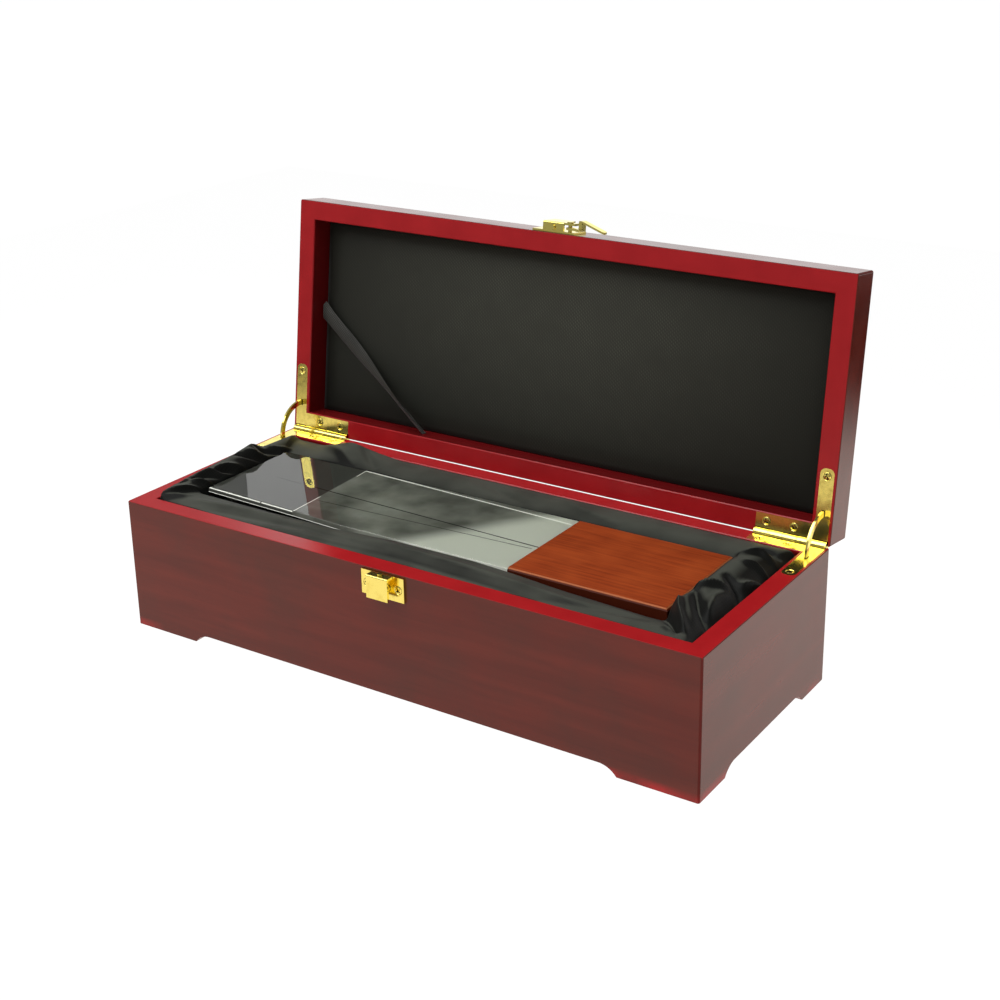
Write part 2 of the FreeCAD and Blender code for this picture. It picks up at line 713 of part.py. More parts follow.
def screw_shape():
    """Countersunk screw with a cross recess, head face at the origin, pointing down."""
    head, shank, length = (number(size) for size in ("screw_head", "screw_shank", "screw_length"))
    slope = (head - shank) * math.cos(math.pi / SIZES["screw_sides"])
    rings = []
    for radius, depth in ((head, 0), (shank, slope), (shank, length - shank), (shank / 4, length)):
        corners = ring(("0", "0"), f"{radius}")
        spots = [FreeCAD.Vector(number(across), number(along), -depth) for across, along in corners]
        rings.append(spots + spots[:1])
    faces = [Part.Face(Part.makePolygon(rings[0])), Part.Face(Part.makePolygon(rings[-1]))]
    for upper, lower in zip(rings, rings[1:]):
        for index in range(len(upper) - 1):
            side = [upper[index], upper[index + 1], lower[index + 1], lower[index], upper[index]]
            faces.append(Part.Face(Part.makePolygon(side)))
    solid = Part.Solid(Part.Shell(faces))
    wide, span, deep = number("recess_width"), number("recess_span"), number("recess_depth")
    bar = Part.makeBox(span, wide, deep, FreeCAD.Vector(-span / 2, -wide / 2, -deep))
    cross = bar.fuse(bar.rotated(FreeCAD.Vector(), FreeCAD.Vector(0, 0, 1), 90)).removeSplitter()
    return solid.cut(cross)


def build_screws(label, places, tilt):
    """Group of like screws; tilt turns their heads from straight up about X."""
    group = doc.addObject("Part::Feature", label)
    group.Label = label
    turn = FreeCAD.Rotation(FreeCAD.Vector(1, 0, 0), tilt)
    shape = screw_shape()
    copies = []
    for place in places:
        spot = FreeCAD.Vector(*(number(text) for text in place))
        copy = shape.copy()
        copy.Placement = FreeCAD.Placement(spot, turn)
        copies.append(copy)
    group.Shape = Part.makeCompound(copies)
    parts.append(group)
    return group


def build_pad():
    """Lid lining: a thin cushion, crowned both ways, whose long sides draw in a little."""
    body = new_part("lid_pad")
    sections = []
    for share in PAD_STATIONS:
        lift = 1 - share ** 2
        half = f"({INNER_Y} - pad_room - pad_draw*{lift})"
        corners = rectangle(f"-{half}", PAD_LOW, half, CARD_LOW)
        rise = f"(pad_lift + pad_crown*{math.sqrt(lift)})"
        place = f"{share}*({INNER_X} - pad_room)"
        sections.append((place, corners, {0: (bulged(corners[0], corners[1], rise), 1)}))
    loft(body, "YZ", sections)
    return body


def build_ribbon():
    """Flat ribbon across the corner of the lid, from its left rail to its back rail."""
    body = new_part("lid_ribbon")
    wall, back = f"(-{INNER_X} + stay_room)", f"({INNER_Y} - stay_room)"
    slope = f"((ribbon_back_x - {wall})/({back} - ribbon_wall_y))"
    corners = [
        (wall, "ribbon_wall_y - ribbon_wall_half"),
        (f"ribbon_back_x + ribbon_wall_half*{slope}", back),
        (f"ribbon_back_x - ribbon_wall_half*{slope}", back),
        (wall, "ribbon_wall_y + ribbon_wall_half"),
    ]
    level = f"({LID_RIM} + ribbon_level)"
    prism(body, "Pad", "XY", level, f"{level} + ribbon_thick", corners)
    return body


def build_roll(label, plane, low, high, stations):
    """Satin roll between two walls, drawn through its stations with a many-sided crown."""
    body = new_part(label)
    sides = SIZES["roll_sides"]
    sections = []
    for place, low_rise, high_rise, bulge in stations:
        corners = [(low, "roll_foot"), (high, "roll_foot")]
        for index in range(sides + 1):
            share = index / sides
            rise = high_rise + (low_rise - high_rise) * share + 4 * bulge * share * (1 - share)
            corners.append((f"({high}) + (({low}) - ({high}))*{share}", f"base_height + ({rise})"))
        sections.append((place, corners, {}))
    loft(body, plane, sections)
    return body


def build_nest():
    """Foam with a pocket for the block, a satin sheet over it and the satin rolls round the award."""
    wide, deep = f"({INNER_X} - nest_room)", f"({INNER_Y} - nest_room)"
    side = "(award_width/2 + nest_room)"
    whole = rectangle(f"-{wide}", f"-{deep}", wide, deep)
    pocket = rectangle("block_start - nest_room", f"-{side}", f"{BLOCK_END} + nest_room", side)
    foam = new_part("nest_foam")
    prism(foam, "Pad", "XY", "floor_level + floor_thick", "foam_top", whole)
    prism(foam, "Pocket", "XY", f"{BLOCK_LOW} - nest_room/2", "foam_top", pocket)
    bed = new_part("satin_bed")
    prism(bed, "Pad", "XY", "foam_top", "foam_top + sheet_thick", whole)
    prism(bed, "Pocket", "XY", "foam_top", "foam_top + sheet_thick", pocket)
    build_roll("satin_front", "YZ", f"-{deep}", f"-{side}", SATIN_FRONT)
    build_roll("satin_back", "YZ", side, deep, SATIN_BACK)
    build_roll("satin_left", "XZ", f"-{wide}", "slab_start - nest_room", SATIN_LEFT)
    build_roll("satin_right", "XZ", f"{BLOCK_END} + nest_room", wide, SATIN_RIGHT)


def build_award():
    """Award lying on its back: a clear plate and its slanting backing, let into a bevelled wooden block."""
    half = "award_width/2"
    slab = new_part("award_slab")
    tongue = "block_start + slab_tongue"
    nose = [("backing_start", f"-{half} + backing_nose"), ("nose_end", f"-{half}")]
    backing = [
        *nose,
        (tongue, f"-{half}"),
        (tongue, f"{half} - backing_taper"),
        ("backing_start - backing_lean", half),
    ]
    prism(slab, "Pad", "XY", "slab_low", "plate_low", backing)
    plate = [
        ("slab_start", f"-{half} + plate_nose"),
        *nose,
        ("block_start", f"-{half}"),
        ("block_start", half),
        ("slab_start", half),
    ]
    prism(slab, "Pad", "XY", "plate_low", "slab_top", plate)
    top, joint = number("slab_top"), number("block_start")
    dress(slab, "Chamfer", "slab_bevel",
          lambda edge: lies_at(edge, "Z", top) and not lies_at(edge, "X", joint))
    block = new_part("award_block")
    outline = rectangle("block_start", f"-{half}", BLOCK_END, half)
    prism(block, "Pad", "XY", BLOCK_LOW, "award_top", outline)
    face = number("award_top")
    dress(block, "Chamfer", "block_bevel",
          lambda edge: lies_at(edge, "Z", face) and not lies_at(edge, "X", joint))
    prism(block, "Pocket", "YZ", "block_start", "block_start + slab_tongue",
          rectangle(f"-{half} - {PAST}", "slab_low", f"{half} + {PAST}", "plate_low"))


def build_case():
    """Every sub-part, with the lid's pieces still shut."""
    for name in SIDES:
        build_frame(name, lid=False)
    build_panel("base_floor", "floor_groove", "floor_level", "floor_level + floor_thick")
    build_nest()
    build_award()
    lid = [build_frame(name, lid=True) for name in SIDES]
    lid.append(build_panel("lid_panel", "panel_rebate", PANEL_LOW, LID_TOP))
    lid.append(build_panel("lid_pad_card", "-pad_room", CARD_LOW, PANEL_LOW))
    lid += [build_pad(), build_ribbon()]
    base_screws, lid_screws = [], []
    for hand, side in HANDS.items():
        build_leaf(f"hinge_{hand}_base_leaf", side, lid=False)
        lid.append(build_leaf(f"hinge_{hand}_lid_leaf", side, lid=True))
        build_pin(f"hinge_{hand}_pin", side)
        build_stay(f"hinge_{hand}_stay", side)
        back, end = leaf_screws(side)
        base_screws += [(*spot, "base_height - screw_room") for spot in back + end]
        lid_screws += [(*spot, f"{LID_RIM} + screw_room") for spot in back + end]
    build_screws("hinge_base_screws", base_screws, 0)
    lid.append(build_screws("hinge_lid_screws", lid_screws, 180))
    plate = f"{FRONT} - clasp_sheet + screw_room"
    build_keeper()
    keeper = [(across, plate, height) for across, height in clasp_screws(KEEPER_SCREW_Z)]
    build_screws("clasp_keeper_screws", keeper, 90)
    lid += [build_bracket(), build_lever(), build_rivet()]
    bracket = [(across, plate, height) for across, height in clasp_screws(BRACKET_SCREW_Z)]
    lid.append(build_screws("clasp_bracket_screws", bracket, 90))
    return lid


def open_lid(lid):
    """Turn the lid's pieces back about the hinge axis to the open stop."""
    axis = FreeCAD.Vector(0, number(AXIS_Y), number(AXIS_Z))
    turn = FreeCAD.Rotation(FreeCAD.Vector(-1, 0, 0), number("open_angle"))
    for part in lid:
        part.Placement = FreeCAD.Placement(axis - turn.multVec(axis), turn)


def centre_case():
    """Set the origin under the middle of the open case."""
    box = FreeCAD.BoundBox()
    for part in parts:
        box.add(part.Shape.optimalBoundingBox(False))
    shift = FreeCAD.Vector(-box.Center.x, -box.Center.y, -box.ZMin)
    for part in parts:
        part.Placement = FreeCAD.Placement(shift, FreeCAD.Rotation()) * part.Placement
    print("shift", shift, "size", box.XLength, box.YLength, box.ZLength)


def check_all():
    """Stop if any object failed, a cut removed nothing or a piece has no valid shape."""
    for item in doc.Objects:
        if {"Invalid", "Error"} & set(item.State):
            raise RuntimeError(f"{item.Label} failed: {item.State}")
        if item.TypeId == "PartDesign::Pocket":
            if item.BaseFeature.Shape.Volume <= item.Shape.Volume + TOUCH:
                raise RuntimeError(f"{item.Label} cuts nothing")
    for part in parts:
        if part.Shape.isNull() or not part.Shape.isValid():
            raise RuntimeError(f"{part.Label} has no valid shape")


open_lid(build_case())
doc.recompute()
check_all()
centre_case()
doc.recompute()
check_all()
os.makedirs("parts", exist_ok=True)
for part in parts:
    part.Shape.exportStep(f"parts/{part.Label}.step")
    print(part.Label, len(part.Shape.Solids), round(part.Shape.Volume, 1))
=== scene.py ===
"""Looks of an open presentation case: a lacquered box with a satin nest that holds a clear award."""
import json
import math

import bpy
import numpy as np
from mathutils import Matrix, Vector


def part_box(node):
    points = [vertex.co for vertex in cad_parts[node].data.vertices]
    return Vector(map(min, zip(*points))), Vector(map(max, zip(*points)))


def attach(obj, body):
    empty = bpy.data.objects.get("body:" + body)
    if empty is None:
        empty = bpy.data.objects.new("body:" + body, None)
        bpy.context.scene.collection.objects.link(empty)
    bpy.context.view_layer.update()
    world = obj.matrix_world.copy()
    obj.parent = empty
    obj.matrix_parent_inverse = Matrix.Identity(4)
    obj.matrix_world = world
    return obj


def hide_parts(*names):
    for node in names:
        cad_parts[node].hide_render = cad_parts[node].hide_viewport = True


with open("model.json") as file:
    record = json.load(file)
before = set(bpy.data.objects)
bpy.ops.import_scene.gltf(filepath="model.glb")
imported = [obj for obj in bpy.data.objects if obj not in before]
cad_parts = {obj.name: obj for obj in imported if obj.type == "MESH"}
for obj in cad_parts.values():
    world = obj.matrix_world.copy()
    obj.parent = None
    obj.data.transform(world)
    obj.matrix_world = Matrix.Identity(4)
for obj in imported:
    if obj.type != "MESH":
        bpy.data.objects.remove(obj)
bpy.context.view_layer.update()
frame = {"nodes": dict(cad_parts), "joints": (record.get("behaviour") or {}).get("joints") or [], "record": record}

MM = 0.001

# Places read from the frame, in metres.
FRONT_WALL, BACK_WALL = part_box("base_front"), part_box("base_back")
LEFT_WALL, RIGHT_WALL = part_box("base_left"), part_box("base_right")
HALF_LENGTH = RIGHT_WALL[1].x
MID_Y = (FRONT_WALL[0].y + BACK_WALL[1].y) / 2
HALF_DEPTH = BACK_WALL[1].y - MID_Y
RIM = FRONT_WALL[1].z
WALL_X = RIGHT_WALL[0].x
WALL_Y = BACK_WALL[0].y - MID_Y
SLAB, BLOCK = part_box("award_slab"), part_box("award_block")

# The lid is packed open; this turn about the hinge shuts it.
HINGE = next(joint for joint in frame["joints"] if joint["name"] == "lid_hinge")
HINGE_PLACE = Vector(HINGE["pos_m"])
LID_TURN = math.radians(HINGE["range_deg"][1])
SHUT = (Matrix.Translation(HINGE_PLACE) @ Matrix.Rotation(LID_TURN, 4, "X")
        @ Matrix.Translation(-HINGE_PLACE))
OPENED = SHUT.inverted()

# Camera, measured from the middle of the case on the floor.
CAMERA_PLACE = (0.466302, -0.651622, 0.412994)
AZIMUTH, ELEVATION, ROLL = 32.897, 19.572, -0.666
LENS, SENSOR = 59.81, 36
SHIFT_X, SHIFT_Y = -0.035274, -0.076342

# Studio: radiance of the room and of the paper, the places where the paper fades out, and the lamps
# with their place, aim, size in metres and power in watts.
ROOM_LIGHT, FLOOR_GLOW, FLOOR_DROP = 0.3, 0.98, 0.1 * MM
PAPER_LIGHT = (1.0, 1.4)
PAPER_EDGES = [(0, (-0.75, -0.55)), (0, (0.75, 0.5)), (1, (-0.95, -0.7)), (1, (0.55, 0.3))]
LAMPS = [
    ("soft_box", (-0.32, -0.5, 1.25), (0, 0, 0.08), (1.1, 1.4), 16.8),
    ("backdrop", (0.05, 1.0 + MID_Y, 0.5), (0.05, 0, 0.5), (2.3, 1.0), 6.2),
    ("white_card", (-0.9, -0.62, 0.72), (-0.165, 0.05, 0.1), (0.28, 0.28), 1.0),
]

# Frosted face of the award's plate, in millimetres from the middle of the case: its outline, the line where the
# thick frost starts, and the slanting line past which a painted light makes it paler, by its normal, distance and
# blur.
PLATE_FRONT = [(-152, -30.2), (-89, -33), (-55, -35), (50, -35)]
FROST = [(-151.2, -29.6), (-89, -32.4), (-55, -34.4), (49.8, -34.4), (49.8, 34.4), (-151.2, 34.4)]
FROST_START, FROST_LEAN = -90.7, -0.05
PAINTED_LIGHT_NORMAL, PAINTED_LIGHT_START, PAINTED_LIGHT_BLUR = (0.813, -0.583), 6.6, 8.0
# Ground edges, white with a painted highlight and glow, and scored lines of the plate: start, end and width.
GROUND_EDGE_HIGHLIGHTS = [
    ((-151.4, -29.9), (-113.0, -31.6), 0.8),
    ((-112.0, -31.65), (-88.8, -32.6), 0.8),
    ((-88.9, -32.6), (-89.6, -9.0), 0.5),
    ((-91.4, 25.0), (-92.0, 34.4), 0.5),
    ((-92.0, 34.4), (48.0, 28.7), 0.9),
]
SCORES = [((-130.0, 1.0), (49.0, -4.8), 0.7), ((-90.5, -14.0), (47.0, -8.0), 0.35)]
# Heights in millimetres: the frosted face, a little below the plate's top, and the plate's two faces.
FROST_LEVEL, PLATE_LOW, PLATE_TOP = 72.5, 70.3, 73.2

# Sprayed red at its deepest and brightest, and the heights in millimetres between which it turns to painted shade
# on the walls inside, for the base first and then for the shut lid.
RED_DEEP, RED_BRIGHT = ("#9A1218", "#8C1016"), ("#B81D22", "#A81A1F")
INNER_START, INNER_END = (RIM / MM - 0.5, RIM / MM + 1.0), (RIM / MM - 1.5, RIM / MM + 2.0)

# Painted light and shade on the lid's padding: the middle and the reach of its lighter patch, along the case and
# up the open lid in metres, and the painted shade at the edges.
PAD_PAINTED_LIGHT = ((0.0, 0.18), (0.18, 0.14), "#1D1E1A")
# Ribbon of the lid: where it meets the left wall and the back rail, in millimetres.
RIBBON_WALL_Y, RIBBON_BACK_X = -5.4, -82.4
# Screws: the least distance between two in one node in millimetres, the turn from one cross to the next in
# radians, and the angle in degrees past which an edge of a head is sharp.
SCREW_APART, SCREW_TWIST, SCREW_SHARP = 5.0, 0.7, 35

# Heights of the nest's satin above the rim, in millimetres: place along the side, rise at the
# wall, rise at the award and the bulge between them.
SATIN = {
    "front": [
        (-152, -1.2, -2.2, 1.6),
        (-100, -1.6, -2.6, 1.8),
        (-55, -1.6, -2.2, 1.8),
        (-15, -1.6, -0.2, 1.8),
        (35, -1.6, 0.0, 1.8),
        (60, -1.6, -1.2, 1.8),
        (90, -1.7, -3.6, 2.0),
        (139, -1.4, -6.0, 2.2),
    ],
    "right": [
        (-58, -3.0, -2.0, 2.0),
        (-50, -5.0, 0.6, 3.0),
        (-38, -8.0, 3.2, 4.4),
        (-22, -9.5, 2.6, 5.4),
        (0, -10.0, 2.0, 5.6),
        (28, -9.0, 2.2, 6.0),
        (44, -7.0, 1.0, 5.0),
        (58, -3.6, -0.6, 2.4),
    ],
    "back": [
        (-160, -1.5, -3.1, 1.4),
        (-137, -1.6, -3.0, 1.4),
        (-126, 2.0, -2.8, 1.2),
        (-117, 5.0, -2.6, 1.2),
        (-109, 3.8, -2.5, 1.2),
        (-102, 2.2, -2.5, 1.2),
        (-85, 0.0, -2.7, 1.2),
        (-20, 0.1, -3.0, 1.2),
        (60, 0.2, -2.7, 1.6),
        (139, -0.4, -3.3, 2.0),
    ],
    "left": [
        (-58, 0.6, -1.8, 1.4),
        (-48, 2.6, -1.6, 1.6),
        (-32, 4.4, -1.2, 1.8),
        (0, 6.0, -1.0, 1.8),
        (10, 7.4, -1.0, 1.6),
        (16, 8.8, -1.2, 1.2),
        (21, 3.0, -1.6, 1.4),
        (40, 2.2, -1.8, 1.6),
        (58, 1.0, -2.4, 1.2),
    ],
}

# How far, in millimetres, the settling satin may move from these heights, and its most above the rim.
SATIN_DRIFT, SATIN_TOP = 2.0, 9.0
# Spare cloth of the satin, as a share of its size, at places along the case in millimetres.
SATIN_SLACK_X = [-164, -150, -120, 110, 135, 164]
SATIN_SLACK = [0.14, 0.12, 0.05, 0.05, 0.18, 0.2]

# Folds of the satin: a line of the plan, how far it stands up or sinks, and its reach to each side.
FOLDS = [
    ([(139, -24), (146, -38), (156, -50)], 4.2, 3.6),
    ([(140, -35), (149, -46), (155, -55)], -3.2, 4.0),
    ([(142, -13), (151, -27), (161, -38)], -4.4, 5.0),
    ([(140, -12), (147, -5), (155, -1)], 3.6, 4.0),
    ([(155, -4), (154, -15), (157, -30)], 3.4, 4.5),
    ([(146, 9), (156, 3), (163, -6)], -4.0, 4.5),
    ([(156, 6), (162, 21)], 4.0, 4.0),
    ([(147, 24), (154, 28), (162, 28)], 3.0, 3.5),
    ([(141, 31), (150, 41), (160, 40)], 3.4, 4.0),
    ([(139, 37), (148, 48), (159, 47)], -4.2, 4.5),
    ([(143, -49), (156, -53)], 2.0, 3.0),
    ([(-162, -52), (-156, -40), (-152, -34)], 2.2, 2.8),
    ([(-163, -44), (-158, -26), (-153, -16)], -1.8, 2.8),
    ([(-162, -30), (-158, -8), (-153, 2)], 2.0, 2.8),
    ([(-163, 2), (-158, 8), (-153, 16)], -2.2, 2.6),
    ([(-162, 10), (-157, 16), (-152, 24)], 2.0, 2.2),
    ([(-163, 18), (-158, 24), (-153, 32)], -2.4, 2.8),
    ([(-162, 28), (-156, 34), (-153, 42)], 1.8, 2.4),
    ([(-163, -57), (-156, -50), (-149, -46)], 2.4, 3.6),
    ([(-162, -20), (-157, -14), (-153, -6)], -2.0, 2.4),
    ([(-163, -38), (-158, -33), (-153, -26)], 1.8, 2.4),
    ([(-150, -50), (-120, -46), (-85, -42)], 1.4, 5.0),
    ([(-135, -55), (-70, -48), (-10, -50)], -1.2, 5.0),
    ([(-60, -55), (0, -53), (70, -56)], -1.0, 5.0),
    ([(-30, -42), (10, -45), (55, -49)], 1.2, 5.0),
    ([(10, -43), (60, -47), (120, -50)], 1.0, 5.0),
    ([(80, -55), (110, -50), (138, -45)], -1.4, 5.0),
    ([(-140, 56), (-118, 46), (-104, 38)], 1.2, 5.0),
    ([(-112, 57), (-100, 48), (-90, 40)], -1.0, 5.0),
    ([(-30, 55), (-8, 46), (12, 40)], -0.8, 6.0),
    ([(24, 56), (44, 47), (70, 41)], 0.8, 6.0),
]


def srgb(code):
    """Linear colour of an sRGB hex value."""
    parts = [int(code[i:i + 2], 16) / 255 for i in (1, 3, 5)]
    linear = [c / 12.92 if c <= 0.04045 else ((c + 0.055) / 1.055) ** 2.4 for c in parts]
    return (*linear, 1.0)


def add(tree, kind, inputs=None, **settings):
    """Node with its settings, and its inputs set to values or linked to other nodes' outputs."""
    node = tree.nodes.new(kind)
    for name, value in settings.items():
        setattr(node, name, value)
    for name, value in (inputs or {}).items():
        socket = node.inputs[name]
        if isinstance(value, bpy.types.NodeSocket):
            tree.links.new(value, socket)
        else:
            socket.default_value = value
    return node


def new_material(name):
    """Material, its emptied node tree, and the place of a point in the frame at rest."""
    made = bpy.data.materials.new(name)
    made.use_nodes = True
    tree = made.node_tree
    tree.nodes.clear()
    return made, tree, add(tree, "ShaderNodeTexCoord").outputs["Object"]


def case_depth(tree, place, lid_top=None):
    """Place in the shut case, its height, and how far it lies below the nearest outer face."""
    if lid_top is not None:
        place = add(tree, "ShaderNodeMapping", {
            "Vector": place, "Location": SHUT.to_translation(), "Rotation": (LID_TURN, 0, 0)}).outputs[0]
    axes = add(tree, "ShaderNodeSeparateXYZ", {0: place})
    along = add(tree, "ShaderNodeMath", {0: axes.outputs[0]}, operation="ABSOLUTE")
    from_end = add(tree, "ShaderNodeMath", {0: HALF_LENGTH, 1: along.outputs[0]}, operation="SUBTRACT")
    offset = add(tree, "ShaderNodeMath", {0: axes.outputs[1], 1: MID_Y}, operation="SUBTRACT")
    across = add(tree, "ShaderNodeMath", {0: offset.outputs[0]}, operation="ABSOLUTE")
    from_side = add(tree, "ShaderNodeMath", {0: HALF_DEPTH, 1: across.outputs[0]}, operation="SUBTRACT")
    depth = add(tree, "ShaderNodeMath", {0: from_end.outputs[0], 1: from_side.outputs[0]},
                operation="MINIMUM")
    if lid_top is not None:
        from_top = add(tree, "ShaderNodeMath", {0: lid_top, 1: axes.outputs[2]}, operation="SUBTRACT")
        depth = add(tree, "ShaderNodeMath", {0: depth.outputs[0], 1: from_top.outputs[0]},
                    operation="MINIMUM")
    return place, axes.outputs[2], depth.outputs[0]


def rosewood_film(tree, place, height, grain):
    """Colour of the printed rosewood film: soft streaks with dark pores, smoky patches and rubbed feet."""
    # Streaks as wide as the grain of a sliced veneer, and the dark pores between them.
    grained = add(tree, "ShaderNodeMapping", {
        "Vector": place, "Scale": [1 / (size * MM) for size in grain]})
    streak = add(tree, "ShaderNodeTexNoise", {
        "Vector": grained.outputs[0], "Scale": 1.0, "Detail": 3.0, "Roughness": 0.5, "Distortion": 0.4})
    streak_share = add(tree, "ShaderNodeMapRange", {
        "Value": streak.outputs[0], "From Min": 0.38, "From Max": 0.72})
    streaked = add(tree, "ShaderNodeMix", {
        0: streak_share.outputs[0], 6: srgb("#5B190F"), 7: srgb("#6B2014")}, data_type="RGBA")
    pores = add(tree, "ShaderNodeTexNoise", {"Vector": grained.outputs[0], "Scale": 7.0, "Detail": 3.0})
    pore_share = add(tree, "ShaderNodeMapRange", {
        "Value": pores.outputs[0], "From Min": 0.56, "From Max": 0.75, "To Max": 0.22})
    pored = add(tree, "ShaderNodeMix", {
        0: pore_share.outputs[0], 6: streaked.outputs[2], 7: srgb("#36100A")}, data_type="RGBA")
    # Broad smoky patches, and red where the feet are rubbed through the film.
    patch = add(tree, "ShaderNodeTexNoise", {"Vector": place, "Scale": 1 / (45 * MM), "Detail": 4.0})
    patch_share = add(tree, "ShaderNodeMapRange", {
        "Value": patch.outputs[0], "From Min": 0.42, "From Max": 0.68, "To Max": 0.42})
    smoky = add(tree, "ShaderNodeMix", {
        0: patch_share.outputs[0], 6: pored.outputs[2], 7: srgb("#45231B")}, data_type="RGBA")
    foot = add(tree, "ShaderNodeMapRange", {
        "Value": height, "From Min": 1.5 * MM, "From Max": 5 * MM, "To Min": 1.0, "To Max": 0.0})
    wear_and_highlight = add(tree, "ShaderNodeMapRange", {
        "Value": patch.outputs[0], "From Min": 0.46, "From Max": 0.62})
    rubbed = add(tree, "ShaderNodeMath", {0: foot.outputs[0], 1: wear_and_highlight.outputs[0]}, operation="MULTIPLY")
    return add(tree, "ShaderNodeMix", {
        0: rubbed.outputs[0], 6: smoky.outputs[2], 7: srgb("#A81C1E")}, data_type="RGBA").outputs[2]


def sprayed_red(tree, height, cloud, in_lid):
    """Colour of the red spray over bare wood: a little clouded, and darkened by painted shade on the walls inside
    the box.
    """
    red = add(tree, "ShaderNodeMix", {0: cloud, 6: srgb(RED_DEEP[in_lid]), 7: srgb(RED_BRIGHT[in_lid])},
              data_type="RGBA")
    # Painted shade on the walls inside, below the base's rim and above the shut lid's.
    inner = add(tree, "ShaderNodeMapRange", {
        "Value": height, "From Min": INNER_START[in_lid] * MM, "From Max": INNER_END[in_lid] * MM})
    return add(tree, "ShaderNodeMix", {
        0: inner.outputs[0], 6: red.outputs[2], 7: srgb("#6A1013")}, data_type="RGBA").outputs[2]


def rosewood_lacquer(name, grain, lid_top=None):
    """Lacquered box wood: dark rosewood film on the outer faces, sprayed red on sawn rims and walls."""
    made, tree, place = new_material(name)
    place, height, depth = case_depth(tree, place, lid_top)
    cloud = add(tree, "ShaderNodeTexNoise", {"Vector": place, "Scale": 1 / (18 * MM), "Detail": 3.0})
    film = add(tree, "ShaderNodeMapRange", {
        "Value": depth, "From Min": 0.15 * MM, "From Max": 0.4 * MM, "To Min": 1.0, "To Max": 0.0})
    colour = add(tree, "ShaderNodeMix", {
        0: film.outputs[0], 6: sprayed_red(tree, height, cloud.outputs[0], lid_top is not None),
        7: rosewood_film(tree, place, height, grain)}, data_type="RGBA")
    gloss = add(tree, "ShaderNodeMapRange", {"Value": cloud.outputs[0], "To Min": 0.16, "To Max": 0.28})
    # The bevels between film and spray are sanded, so they are dull.
    sanded = add(tree, "ShaderNodeMath", {0: depth, 1: 0.22 * MM, 2: 0.2 * MM}, operation="COMPARE")
    rough = add(tree, "ShaderNodeMath", {0: sanded.outputs[0], 1: 0.6, 2: gloss.outputs[0]},
                operation="MULTIPLY_ADD")
    peel = add(tree, "ShaderNodeTexNoise", {"Vector": place, "Scale": 1 / (2.5 * MM), "Detail": 2.0})
    bump = add(tree, "ShaderNodeBump", {"Height": peel.outputs[0], "Strength": 0.03, "Distance": 0.3 * MM})
    shader = add(tree, "ShaderNodeBsdfPrincipled", {
        "Base Color": colour.outputs[2], "Roughness": rough.outputs[0], "IOR": 1.4,
        "Normal": bump.outputs[0]})
    add(tree, "ShaderNodeOutputMaterial", {"Surface": shader.outputs[0]})
    return made


def gold_plated_brass():
    """Polished brass with a thin gold plate: bright yellow, with faint rubbing marks and dull spots."""
    made, tree, place = new_material("gold_plated_brass")
    spots = add(tree, "ShaderNodeTexNoise", {"Vector": place, "Scale": 1 / (3 * MM), "Detail": 4.0})
    dull = add(tree, "ShaderNodeMapRange", {
        "Value": spots.outputs[0], "From Min": 0.5, "From Max": 0.8, "To Max": 0.5})
    colour = add(tree, "ShaderNodeMix", {
        0: dull.outputs[0], 6: srgb("#FFEE83"), 7: srgb("#E4C957")}, data_type="RGBA")
    # Painted shade: darker in the corners, round the screws and between the knuckles, by ambient occlusion.
    corners = add(tree, "ShaderNodeAmbientOcclusion", {"Distance": 0.9 * MM}, samples=8)
    unshaded_share = add(tree, "ShaderNodeMapRange", {
        "Value": corners.outputs["AO"], "From Min": 0.35, "From Max": 0.85})
    colour = add(tree, "ShaderNodeMix", {
        0: unshaded_share.outputs[0], 6: srgb("#4A3410"), 7: colour.outputs[2]}, data_type="RGBA")
    rough = add(tree, "ShaderNodeMapRange", {"Value": spots.outputs[0], "To Min": 0.08, "To Max": 0.26})
    rubbed = add(tree, "ShaderNodeTexNoise", {"Vector": place, "Scale": 1 / (0.6 * MM), "Detail": 2.0})
    bump = add(tree, "ShaderNodeBump", {
        "Height": rubbed.outputs[0], "Strength": 0.05, "Distance": 0.1 * MM})
    shader = add(tree, "ShaderNodeBsdfPrincipled", {
        "Base Color": colour.outputs[2], "Metallic": 1.0, "Roughness": rough.outputs[0],
        "Normal": bump.outputs[0]})
    add(tree, "ShaderNodeOutputMaterial", {"Surface": shader.outputs[0]})
    return made


def painted_satin_sheen(tree, place, colour, level):
    """Colour of satin with a painted sheen: lighter where it lies level, darker on its slopes."""
    normal = add(tree, "ShaderNodeNewGeometry").outputs["Normal"]
    upright = add(tree, "ShaderNodeSeparateXYZ", {0: normal})
    flat = add(tree, "ShaderNodeMapRange", {
        "Value": upright.outputs[2], "From Min": 0.86, "From Max": 0.995})
    # The painted sheen comes and goes along the cloth by a broad noise.
    drawn = add(tree, "ShaderNodeTexNoise", {"Vector": place, "Scale": 1 / (32 * MM), "Detail": 3.0})
    uneven = add(tree, "ShaderNodeMapRange", {
        "Value": drawn.outputs[0], "From Min": 0.36, "From Max": 0.6, "To Min": 0.7, "To Max": 1.1})
    share = add(tree, "ShaderNodeMath", {0: flat.outputs[0], 1: uneven.outputs[0]}, operation="MULTIPLY")
    return add(tree, "ShaderNodeMix", {
        0: share.outputs[0], 6: colour, 7: srgb(level)}, data_type="RGBA").outputs[2]


